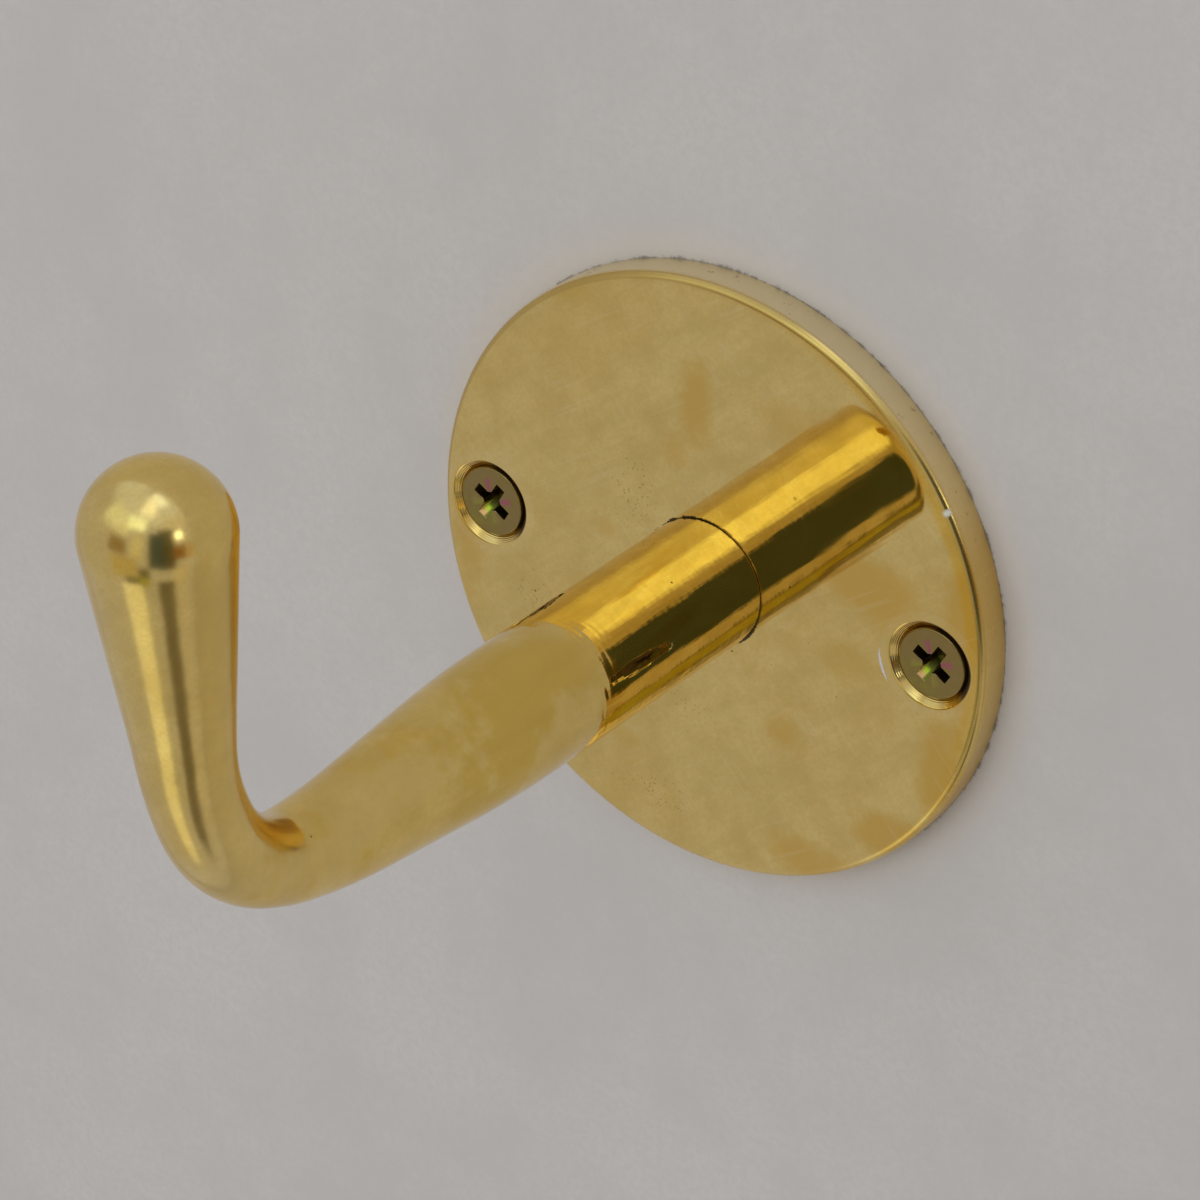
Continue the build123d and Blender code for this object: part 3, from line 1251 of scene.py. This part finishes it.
    def flat_faces(self) -> list[Sheet]:
        """Front and back faces, flat between the rim and the holes."""
        front, back = self.mouth_end() + self.inset, self.bore + self.inset
        front_holes = [(x, front, HOLE_COLUMNS) for x in (-self.hole_x, self.hole_x)]
        back_holes = [(x, back, HOLE_COLUMNS) for x in (-self.hole_x, self.hole_x)]
        front_holes.append((0.0, self.back_bore + self.inset, ARM_HOLE_COLUMNS))
        back_holes.append((0.0, self.back_mouth + self.inset, ARM_HOLE_COLUMNS))
        back_rim = self.radius - self.back_round - self.inset
        rings = tuple(np.linspace(self.roll_start, self.roll_end(), 15)[:-1])
        return [
            flat_sheet(-self.thickness, self.roll_end(), RIM_COLUMNS, front_holes, rings),
            flat_sheet(0.0, back_rim, RIM_COLUMNS, back_holes),
        ]

    def build(self) -> bpy.types.Object:
        """Builds and dresses the plate, and seats it on its CAD node."""
        front, back = self.flat_faces()
        sheets = [
            self.edge_sheet(),
            self.rolled(front),
            self.rolled(self.wall_screw_hole(-self.hole_x)),
            self.rolled(self.wall_screw_hole(self.hole_x)),
            self.arm_screw_hole(),
            back,
        ]
        plate = welded_piece("plate", sheets, Shading.POLISHED)
        seat_piece(plate, "back_plate", PlateFinish().material("plate_brass"))
        return plate


@dataclass
class HookArm:
    """Arm: a bar turned to a cylinder, a taper, a neck, a swell and a ball, then bent upwards.

    Attributes:
        foot_y: Y of its foot, on the plate's face.
        bar_radius: Radius of the bar and of its ball.
        neck_radius: Radius of the neck.
        taper_start: Distance from the foot to the taper.
        taper_end: Distance to the neck.
        swell_start: Distance to the swell.
        length: Distance to the middle of the ball.
        blends: Radii that blend the corners at those three distances.
        bend_start: Distance to the bend.
        bend: Radius and angle in degrees of each arc of the bend.
        foot_round: Radius of the foot's edge.
        hole_radius: Radius of the tapped hole.
        hole_depth: Depth of its round wall.
        hole_point: Depth of the drill point past it.
    """

    foot_y: float = FACE_Y
    bar_radius: float = BAR_RADIUS
    neck_radius: float = 3.97 * MM
    taper_start: float = 33.9 * MM
    taper_end: float = 61.7 * MM
    swell_start: float = 80.2 * MM
    length: float = 102.3 * MM
    blends: tuple[float, float, float] = (140.0 * MM, 10.0 * MM, 75.0 * MM)
    bend_start: float = 49.8 * MM
    bend: tuple[tuple[float, float], ...] = ((55.0 * MM, 9.4), (14.6 * MM, 55.0), (27.0 * MM, 19.0))
    foot_round: float = 0.2 * MM
    hole_radius: float = 2.55 * MM
    hole_depth: float = 14.35 * MM
    hole_point: float = 1.53 * MM

    def outline_radius(self, along: np.ndarray) -> np.ndarray:
        """Radius of the straight bar.

        Straight lines join the corners of the outline. Within a blend's reach of a corner, which is
        the blend radius times half the change of slope, a parabola takes the corner off. The last
        line touches the ball, and past that point the radius is the ball's: the root of its radius
        squared less the distance from its middle squared.

        Args:
            along: Distances from the foot.

        Returns:
            The radii.
        """
        swell = self.length - self.swell_start
        rise = math.asin(self.bar_radius / math.hypot(swell, self.neck_radius))
        rise -= math.atan2(self.neck_radius, swell)
        touch = self.length - self.bar_radius * math.sin(rise)
        places = np.array([0.0, self.taper_start, self.taper_end, self.swell_start, touch])
        bar, neck = self.bar_radius, self.neck_radius
        radii = np.array([bar, bar, neck, neck, bar * math.cos(rise)])
        slopes = np.diff(radii) / np.diff(places)
        radius = np.interp(along, places, radii)
        for corner, blend, turn in zip(places[1:4], self.blends, np.diff(slopes)):
            reach = blend * abs(turn) / 2
            inside = np.clip(reach - np.abs(along - corner), 0.0, None)
            radius = radius + turn * inside**2 / (4 * reach)
        ball = np.sqrt(np.clip(self.bar_radius**2 - (along - self.length) ** 2, 0.0, None))
        return np.where(along > touch, ball, radius)

    def centre_line(self, along: np.ndarray) -> tuple[np.ndarray, np.ndarray]:
        """Middle of the bent bar, in the YZ plane.

        The line runs straight out from the plate, through three arcs that turn it upwards, and
        straight on. On an arc the middle moves by the radius times the change of the sine of the
        turn along -Y, and by the radius times the change of its cosine along +Z.

        Args:
            along: Distances from the foot.

        Returns:
            The middles, and the directions square to the line in its plane, as rows of x, y and z.
        """
        turn = np.zeros_like(along)
        y = self.foot_y - np.minimum(along, self.bend_start)
        z = np.zeros_like(along)
        start, turned = self.bend_start, 0.0
        for radius, degrees in self.bend:
            angle = math.radians(degrees)
            part = np.clip((along - start) / radius, 0.0, angle)
            y -= radius * (np.sin(turned + part) - math.sin(turned))
            z += radius * (math.cos(turned) - np.cos(turned + part))
            turn += part
            start, turned = start + radius * angle, turned + angle
        rest = np.clip(along - start, 0.0, None)
        y -= rest * math.cos(turned)
        z += rest * math.sin(turned)
        middle = np.stack([np.zeros_like(y), y, z], axis=1)
        square = np.stack([np.zeros_like(y), np.sin(turn), np.cos(turn)], axis=1)
        return middle, square

    def outline(self) -> np.ndarray:
        """Half outline of the whole bar, as rows of (distance, radius).

        It starts at the tip of the tapped hole, comes out over the foot and runs to the ball's
        tip.
        """
        corner = (self.foot_round, self.bar_radius - self.foot_round)
        foot = arc(corner, self.foot_round, 180.0, 90.0, 5)
        body = np.linspace(self.foot_round + 0.03 * MM, self.length, ARM_ROWS)
        ball = self.length + self.bar_radius * np.sin(np.linspace(0.0, np.pi / 2, BALL_ROWS))[1:]
        hole = [
            [self.hole_depth + self.hole_point, 0.0],
            [self.hole_depth, self.hole_radius],
            [0.0, self.hole_radius],
        ]
        along = np.concatenate([body, ball])
        return np.concatenate([hole, foot, np.stack([along, self.outline_radius(along)], axis=1)])

    def sheet(self, columns: int) -> Sheet:
        """Carries the outline along the bent centre line.

        A point is the middle of the line at its distance, plus its radius times the cosine of its
        angle along X and the sine along the direction square to the line.

        Args:
            columns: Number of points round the bar.

        Returns:
            The sheet. Its u is the angle in turns, its v the distance in metres.
        """
        outline = self.outline()
        middle, square = self.centre_line(outline[:, 0])
        angle = even_turn(columns)
        across = np.cos(angle)[:, None] * np.array([1.0, 0.0, 0.0])
        spoke = across + np.sin(angle)[None, :, None] * square[:, None, :]
        points = middle[:, None, :] + outline[:, 1][:, None, None] * spoke
        return wrapped_grid(points, np.linspace(0.0, 1.0, columns + 1), outline[:, 0])

    def build(self) -> bpy.types.Object:
        """Builds and dresses the arm, and seats it on its CAD node."""
        arm = welded_piece("arm", [self.sheet(ARM_COLUMNS)], Shading.POLISHED)
        seat_piece(arm, "hook_arm", ArmFinish().material("arm_brass"))
        return arm


class Tip(Enum):
    """How a screw ends."""

    POINT = "a sharp point"
    CHAMFER = "a chamfered end"


@dataclass
class Screw:
    """Countersunk screw with a cross recess and a rolled thread.

    Attributes:
        top: Middle of the head's top.
        out: 1 where the head looks along +Y, -1 where it looks along -Y.
        turn: Angle of the recess in degrees, from +X towards +Z.
        head_radius: Radius of the head.
        land: Height of its straight rim.
        rim_round: Radius of the head's edge.
        neck_radius: Radius of the plain neck.
        neck_end: Depth at which the thread starts.
        length: Length with the head.
        crest: Radius of the thread's crests.
        root: Radius between them.
        pitch: Distance from turn to turn.
        tip: How it ends.
        tip_length: Length of the tip.
        ridge: Half the width of the thread's ridge at its root, as a share of the pitch.
        recess_reach: Distance from the middle to the end of each arm of the recess.
        recess_arm: Half the width of an arm.
        recess_core: Half the side of the square in the recess's middle.
        recess_depth: Depth of the recess.
        recess_bottom: Radius of its bottom.
        recess_lip: Size of the bevel round its outline.
    """

    top: Triple
    out: float
    turn: float
    head_radius: float = 3.45 * MM
    land: float = 0.5 * MM
    rim_round: float = 0.15 * MM
    neck_radius: float = 1.3 * MM
    neck_end: float = 3.7 * MM
    length: float = 35.0 * MM
    crest: float = 1.75 * MM
    root: float = 1.15 * MM
    pitch: float = 1.8 * MM
    tip: Tip = Tip.POINT
    tip_length: float = 5.0 * MM
    ridge: float = 0.24
    recess_reach: float = 2.05 * MM
    recess_arm: float = 0.525 * MM
    recess_core: float = 0.95 * MM
    recess_depth: float = 2.0 * MM
    recess_bottom: float = 0.65 * MM
    recess_lip: float = 0.05 * MM

    def columns(self) -> np.ndarray:
        """Angles round the screw in radians: even ones and those of the recess's corners."""
        core_corner = self.recess_core * math.sqrt(2) - self.recess_arm
        corners = [math.atan2(self.recess_arm, reach) for reach in (self.recess_reach, core_corner)]
        corners += [math.pi / 2 - corner for corner in corners]
        quarters = np.arange(4)[:, None] * math.pi / 2
        even = np.radians(np.arange(0.0, 360.0, 3.0))
        angles = np.concatenate([even, (quarters + np.array(corners)).ravel()])
        return np.unique(np.round(angles, 6))

    def recess_rim(self, angle: np.ndarray) -> np.ndarray:
        """Distance from the middle to the recess's outline.

        The outline is two crossed slots and a square turned by an eighth. In each shape the
        distance is the least, over its sides, of the side's distance divided by the cosine of the
        angle to it, and the whole outline takes the greatest of the three.

        Args:
            angle: Angles from an arm of the recess, in radians.

        Returns:
            The distances.
        """
        reach, half_arm = self.recess_reach, self.recess_arm
        cosine = np.abs(np.cos(angle)) + EPSILON
        sine = np.abs(np.sin(angle)) + EPSILON
        slot = np.minimum(reach / cosine, half_arm / sine)
        cross_slot = np.minimum(half_arm / cosine, reach / sine)
        core = self.recess_core * math.sqrt(2) / (cosine + sine)
        return np.maximum(np.maximum(slot, cross_slot), core)

    def recess_rings(self, angle: np.ndarray) -> tuple[np.ndarray, np.ndarray]:
        """Rings of the recess, from its bottom to the head's top.

        The walls drop straight from the outline to a cone, which narrows from the arms' reach at
        the top to the bottom's width.

        Args:
            angle: Angles from an arm of the recess, in radians.

        Returns:
            Radii and heights, both shaped rings by columns.
        """
        depth, bottom, lip = self.recess_depth, self.recess_bottom, self.recess_lip
        reach = self.recess_reach
        rim = self.recess_rim(angle)
        wall = -depth * np.clip(reach - rim, 0.0, None) / (reach - bottom)
        low = np.full_like(rim, -depth)
        radius = [np.zeros_like(rim), np.minimum(rim, bottom), rim, rim, rim + lip]
        height = [low, low, wall, np.maximum(wall, -lip), np.zeros_like(rim)]
        return np.stack(radius), np.stack(height)

    def thread_rings(self, angle: np.ndarray) -> tuple[np.ndarray, np.ndarray]:
        """Rings of the threaded length.

        The thread is a ridge that winds round the root: its height depends on the fractional part
        of the depth over the pitch less the angle over a turn, and falls off evenly from the crest.
        It grows from nothing over the first turn and shrinks along the tip.

        Args:
            angle: Angles round the screw, in radians.

        Returns:
            Radii and heights, both shaped rings by columns.
        """
        rows = round((self.length - self.neck_end) / self.pitch * 10)
        depth = np.linspace(self.neck_end, self.length, rows)
        phase = depth[:, None] / self.pitch - angle[None, :] / (2 * np.pi)
        ridge = np.clip(1.0 - np.abs(phase % 1.0 - 0.5) / self.ridge, 0.0, None)
        started = np.clip((depth - self.neck_end) / self.pitch, 0.0, 1.0)[:, None]
        to_end = np.clip((self.length - depth) / self.tip_length, 0.0, 1.0)[:, None]
        shrink = 0.06 + 0.94 * to_end if self.tip is Tip.POINT else 1.0
        fade = started * np.clip(to_end * 6, 0.0, 1.0)
        radius = self.root * shrink + (self.crest - self.root) * ridge * fade * shrink
        return radius, np.broadcast_to(-depth[:, None], radius.shape)

    def build(self, name: str) -> bpy.types.Object:
        """Builds the screw as one closed surface turned about its axis.

        Args:
            name: Name of the piece.

        Returns:
            The object.
        """
        angle = self.columns()
        across = np.ones((1, angle.size))
        corner = (self.head_radius - self.rim_round, -self.rim_round)
        rim = arc(corner, self.rim_round, 90.0, 0.0, 5)
        body = np.concatenate(
            [
                [[corner[0] - 0.03 * MM, 0.0]],
                rim,
                [[self.head_radius, -self.land]],
                [[self.neck_radius, -self.land - (self.head_radius - self.neck_radius)]],
                [[self.neck_radius, -self.neck_end + 0.2 * MM]],
            ]
        )
        recess = self.recess_rings(angle)
        thread = self.thread_rings(angle)
        radius = np.concatenate([recess[0], body[:, :1] * across, thread[0], 0.0 * across])
        height = np.concatenate([recess[1], body[:, 1:] * across, thread[1], -self.length * across])
        turned = angle + math.radians(self.turn)
        sheet = turned_sheet(radius, height, turned, self.top, self.out)
        return welded_piece(name, [sheet], Shading.FACETED)


@dataclass
class Fasteners:
    """The two wood screws that hold the plate, and the machine screw that holds the arm.

    Attributes:
        pitch: Distance between the wood screws.
        face_y: Y of the plate's face.
        sink: Depth of the wood screws' heads below it.
        arm_screw_sink: Depth of the machine screw's head below the plate's back.
        turn: Angle of the wood screws' recesses in degrees.
        arm_screw_turn: Angle of the machine screw's recess in degrees.
    """

    pitch: float = 2 * SCREW_X
    face_y: float = FACE_Y
    sink: float = 0.3 * MM
    arm_screw_sink: float = 0.15 * MM
    turn: float = -31.0
    arm_screw_turn: float = 12.0

    def wood_screw(self, name: str, side: float) -> bpy.types.Object:
        """One wood screw.

        Args:
            name: Name of the piece.
            side: -1 for the left one, 1 for the right one.

        Returns:
            The object.
        """
        top = (side * self.pitch / 2, self.face_y + self.sink, 0.0)
        return Screw(top=top, out=-1.0, turn=self.turn).build(name)

    def machine_screw(self) -> bpy.types.Object:
        """The screw from the back of the plate into the arm."""
        screw = Screw(
            top=(0.0, -self.arm_screw_sink, 0.0),
            out=1.0,
            turn=self.arm_screw_turn,
            head_radius=4.6 * MM,
            land=0.3 * MM,
            neck_radius=2.3 * MM,
            neck_end=3.4 * MM,
            length=16.0 * MM,
            crest=2.5 * MM,
            root=2.1 * MM,
            pitch=0.8 * MM,
            tip=Tip.CHAMFER,
            tip_length=0.8 * MM,
        )
        return screw.build("joining_screw")

    def build(self) -> list[bpy.types.Object]:
        """Builds and dresses the three screws, and seats them on their CAD nodes."""
        wall_zinc = ZincFinish(self.turn).material("wall_screw_zinc")
        arm_zinc = ZincFinish(self.arm_screw_turn).material("joining_screw_zinc")
        screws = [
            (self.wood_screw("wall_screw_left", -1.0), "wall_screws", wall_zinc),
            (self.wood_screw("wall_screw_right", 1.0), "wall_screws", wall_zinc),
            (self.machine_screw(), "arm_screw", arm_zinc),
        ]
        for screw, node, finish in screws:
            seat_piece(screw, node, finish)
        return [screw for screw, _, _ in screws]


# The room


@dataclass(frozen=True)
class RoomPatch:
    """Part of the room that the brass mirrors, as a soft-edged patch of the sky round the hook.

    Attributes:
        azimuth: Its middle in degrees, from -Y towards +X.
        elevation: Its middle in degrees above the horizon.
        half_width: Half its width in degrees of azimuth.
        half_height: Half its height in degrees of elevation.
        soft: Width of its soft edge in degrees.
        colour: Its light.
    """

    azimuth: float
    elevation: float
    half_width: float
    half_height: float
    soft: float
    colour: Colour


@dataclass
class Studio:
    """Wall, floor, soft lamp and the pale room.

    Attributes:
        wall_radius: Radius of the wall.
        opening: Radius of the round opening behind the plate.
        wall_rings: Radii of the rings that divide the wall.
        floor_z: Height of the floor.
        lamp_side: Side of the square lamp.
        lamp_power: Its power in watts.
        lamp_place: Where it hangs, facing the hook.
        room: Light of the plain room, which the camera sees past the wall.
        patches: Lighter and darker parts of the room.
    """

    wall_radius: float = 1.2
    opening: float = 29.4 * MM
    wall_rings: Triple = (0.06, 0.2, 0.8)
    floor_z: float = -0.9
    lamp_side: float = 3.6
    lamp_power: float = 63.0
    lamp_place: Triple = (-0.35, -2.2, 0.7)
    room: Colour = (0.452, 0.445, 0.500)
    patches: tuple[RoomPatch, ...] = (
        RoomPatch(0.0, 60.0, 95.0, 14.0, 14.0, (0.62, 0.66, 0.84)),
        RoomPatch(45.0, 77.0, 35.0, 4.0, 12.0, (1.20, 1.40, 1.95)),
        RoomPatch(22.0, 66.0, 12.0, 6.0, 14.0, (1.25, 1.34, 1.62)),
        RoomPatch(-30.0, 34.0, 18.0, 5.0, 16.0, (0.74, 0.80, 0.82)),
        RoomPatch(5.0, 40.0, 12.0, 3.0, 11.0, (1.18, 1.40, 1.50)),
        RoomPatch(72.0, 40.0, 14.0, 4.0, 9.0, (0.60, 0.58, 0.60)),
        RoomPatch(-17.0, 5.0, 9.0, 6.0, 9.0, (0.27, 0.20, 0.12)),
        RoomPatch(13.0, 8.0, 5.0, 12.0, 7.0, (0.58, 0.56, 0.46)),
        RoomPatch(-5.0, -22.0, 14.0, 8.0, 10.0, (0.46, 0.40, 0.24)),
        RoomPatch(-3.0, -59.0, 13.0, 9.0, 8.0, (0.84, 0.83, 0.74)),
        RoomPatch(4.0, -40.0, 9.0, 2.5, 5.0, (0.17, 0.16, 0.10)),
        RoomPatch(22.0, -30.0, 5.0, 6.0, 6.0, (0.14, 0.13, 0.08)),
        RoomPatch(21.0, -42.0, 5.0, 4.0, 6.0, (0.34, 0.33, 0.08)),
        RoomPatch(72.0, -34.0, 7.0, 10.0, 7.0, (0.56, 0.52, 0.48)),
        RoomPatch(54.0, -52.0, 9.0, 7.0, 8.0, (0.13, 0.11, 0.08)),
        RoomPatch(54.0, 5.0, 8.0, 25.0, 6.0, (0.09, 0.08, 0.05)),
        RoomPatch(71.0, 0.0, 6.0, 7.0, 5.0, (0.24, 0.12, 0.03)),
        RoomPatch(86.0, 0.0, 5.0, 8.0, 5.0, (0.44, 0.36, 0.26)),
        RoomPatch(40.0, 4.0, 7.5, 22.0, 5.0, (0.056, 0.078, 0.095)),
        RoomPatch(73.0, 22.5, 3.5, 3.0, 3.0, (2.8, 3.0, 3.1)),
    )

    def wall_sheet(self) -> Sheet:
        """Round wall with its opening, flat at y = 0."""
        radius = np.array([self.opening, *self.wall_rings, self.wall_radius])[:, None]
        angle = even_turn(WALL_COLUMNS)
        return turned_sheet(radius, np.zeros_like(radius), angle, (0.0, 0.0, 0.0), 1.0)

    def floor_sheet(self) -> Sheet:
        """Flat square floor in front of the wall."""
        reach = self.wall_radius
        points = np.array(
            [
                [-reach, 0.0, self.floor_z],
                [-reach, -2 * reach, self.floor_z],
                [reach, -2 * reach, self.floor_z],
                [reach, 0.0, self.floor_z],
            ]
        )
        return Sheet(points, np.array([[0, 1, 2, 3]]), points[None, :, :2])

    def stage_piece(
        self, name: str, sheet: Sheet, facing: Vector, material: bpy.types.Material
    ) -> bpy.types.Object:
        """Puts an open sheet on the stage, with its faces towards the hook.

        Args:
            name: Name of the object.
            sheet: The sheet.
            facing: Way in which its faces look.
            material: Its finish.

        Returns:
            The object.
        """
        staged = piece_mesh(name, [sheet])
        if staged.data.polygons[0].normal.dot(facing) < 0:
            staged.data.flip_normals()
        staged.data.materials.append(material)
        return staged

    def build_room(self) -> None:
        """Lights the world: a plain room, and its patches where the brass mirrors them.

        A patch's share at a direction is the product of two smooth steps, one in azimuth and one in
        elevation. All rays but glossy ones meet the plain room, which also keeps the render quick.
        """
        world = bpy.data.worlds.new("room")
        bpy.context.scene.world = world
        graph = Graph(world)
        x, y, z = graph.axes(graph.add("ShaderNodeTexCoord").outputs["Generated"])
        azimuth = graph.math("DEGREES", graph.math("ARCTAN2", x, graph.product(y, -1.0)))
        elevation = graph.math("DEGREES", graph.math("ARCSINE", z))
        colour: object = self.room
        for patch in self.patches:
            side = graph.apart(azimuth, patch.azimuth)
            rise = graph.apart(elevation, patch.elevation)
            share = graph.product(
                graph.ramp(side, patch.half_width + patch.soft, patch.half_width),
                graph.ramp(rise, patch.half_height + patch.soft, patch.half_height),
            )
            colour = graph.blend(share, colour, patch.colour)
        plain, mirrored = (
            graph.add("ShaderNodeBackground", {"Color": light, "Strength": 1.0}).outputs[0]
            for light in ((*self.room, 1.0), colour)
        )
        glossy = graph.add("ShaderNodeLightPath").outputs["Is Glossy Ray"]
        room = graph.add("ShaderNodeMixShader", {0: glossy, 1: plain, 2: mirrored}).outputs[0]
        graph.add("ShaderNodeOutputWorld", {"Surface": room})

    def build_lamp(self) -> None:
        """Hangs a very wide soft lamp up left of the hook, which leaves no glare on the brass."""
        data = bpy.data.lights.new("soft_lamp", "AREA")
        data.shape = "SQUARE"
        data.size = self.lamp_side
        data.energy = self.lamp_power
        lamp = bpy.data.objects.new("soft_lamp", data)
        place = Vector(self.lamp_place)
        turn = place.to_track_quat("Z", "Y").to_matrix().to_4x4()
        lamp.matrix_world = Matrix.Translation(place) @ turn
        lamp.visible_glossy = False
        bpy.context.scene.collection.objects.link(lamp)

    def build(self) -> None:
        """Sets up the wall, the floor, the room and the lamp."""
        plaster = PlasterFinish()
        out, up = Vector((0.0, -1.0, 0.0)), Vector((0.0, 0.0, 1.0))
        self.stage_piece("wall", self.wall_sheet(), out, plaster.wall_material("wall_plaster"))
        floor_coat = plaster.floor_material("floor_plaster")
        floor = self.stage_piece("floor", self.floor_sheet(), up, floor_coat)
        floor.visible_glossy = False
        self.build_room()
        self.build_lamp()


@dataclass(frozen=True)
class PhotoCamera:
    """Camera at the photograph's view.

    Attributes:
        azimuth: Angle from -Y towards +X in degrees.
        elevation: Angle above the horizon in degrees.
        roll: Turn about its line of sight in degrees.
        distance: Distance from its target.
        target: Point that it looks at.
        lens: Focal length in millimetres.
        sensor: Width of the sensor in millimetres.
        clip: Distances between which it sees.
    """

    azimuth: float = 35.82
    elevation: float = 29.83
    roll: float = 0.887
    distance: float = 475.15 * MM
    target: Triple = (-14.34 * MM, 0.0, -8.64 * MM)
    lens: float = 151.94
    sensor: float = 36.0
    clip: tuple[float, float] = (0.01, 20.0)

    def build(self) -> bpy.types.Object:
        """Places the camera and makes it the scene's own."""
        angles = (self.azimuth, self.elevation, self.roll)
        azimuth, elevation, roll = (math.radians(angle) for angle in angles)
        back = Vector(
            (
                math.sin(azimuth) * math.cos(elevation),
                -math.cos(azimuth) * math.cos(elevation),
                math.sin(elevation),
            )
        )
        level = Vector((math.cos(azimuth), math.sin(azimuth), 0.0))
        upright = back.cross(level)
        right = math.cos(roll) * level + math.sin(roll) * upright
        up = math.cos(roll) * upright - math.sin(roll) * level
        data = bpy.data.cameras.new("photo_camera")
        data.sensor_width = self.sensor
        data.lens = self.lens
        data.clip_start, data.clip_end = self.clip
        camera = bpy.data.objects.new("photo_camera", data)
        turn = Matrix((right, up, back)).transposed().to_4x4()
        camera.matrix_world = Matrix.Translation(Vector(self.target) + self.distance * back) @ turn
        bpy.context.scene.collection.objects.link(camera)
        bpy.context.scene.camera = camera
        return camera


def main() -> None:
    """Builds the hook and its room."""
    logging.basicConfig(level=logging.INFO, format="%(name)s: %(message)s")
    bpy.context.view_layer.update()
    pieces = [BackPlate().build(), HookArm().build(), *Fasteners().build()]
    for piece in pieces:
        log.info("%s: %d faces", piece.name, len(piece.data.polygons))
    Studio().build()
    PhotoCamera().build()
    bpy.context.scene.view_settings.view_transform = "Standard"


if __name__ == "__main__":
    main()
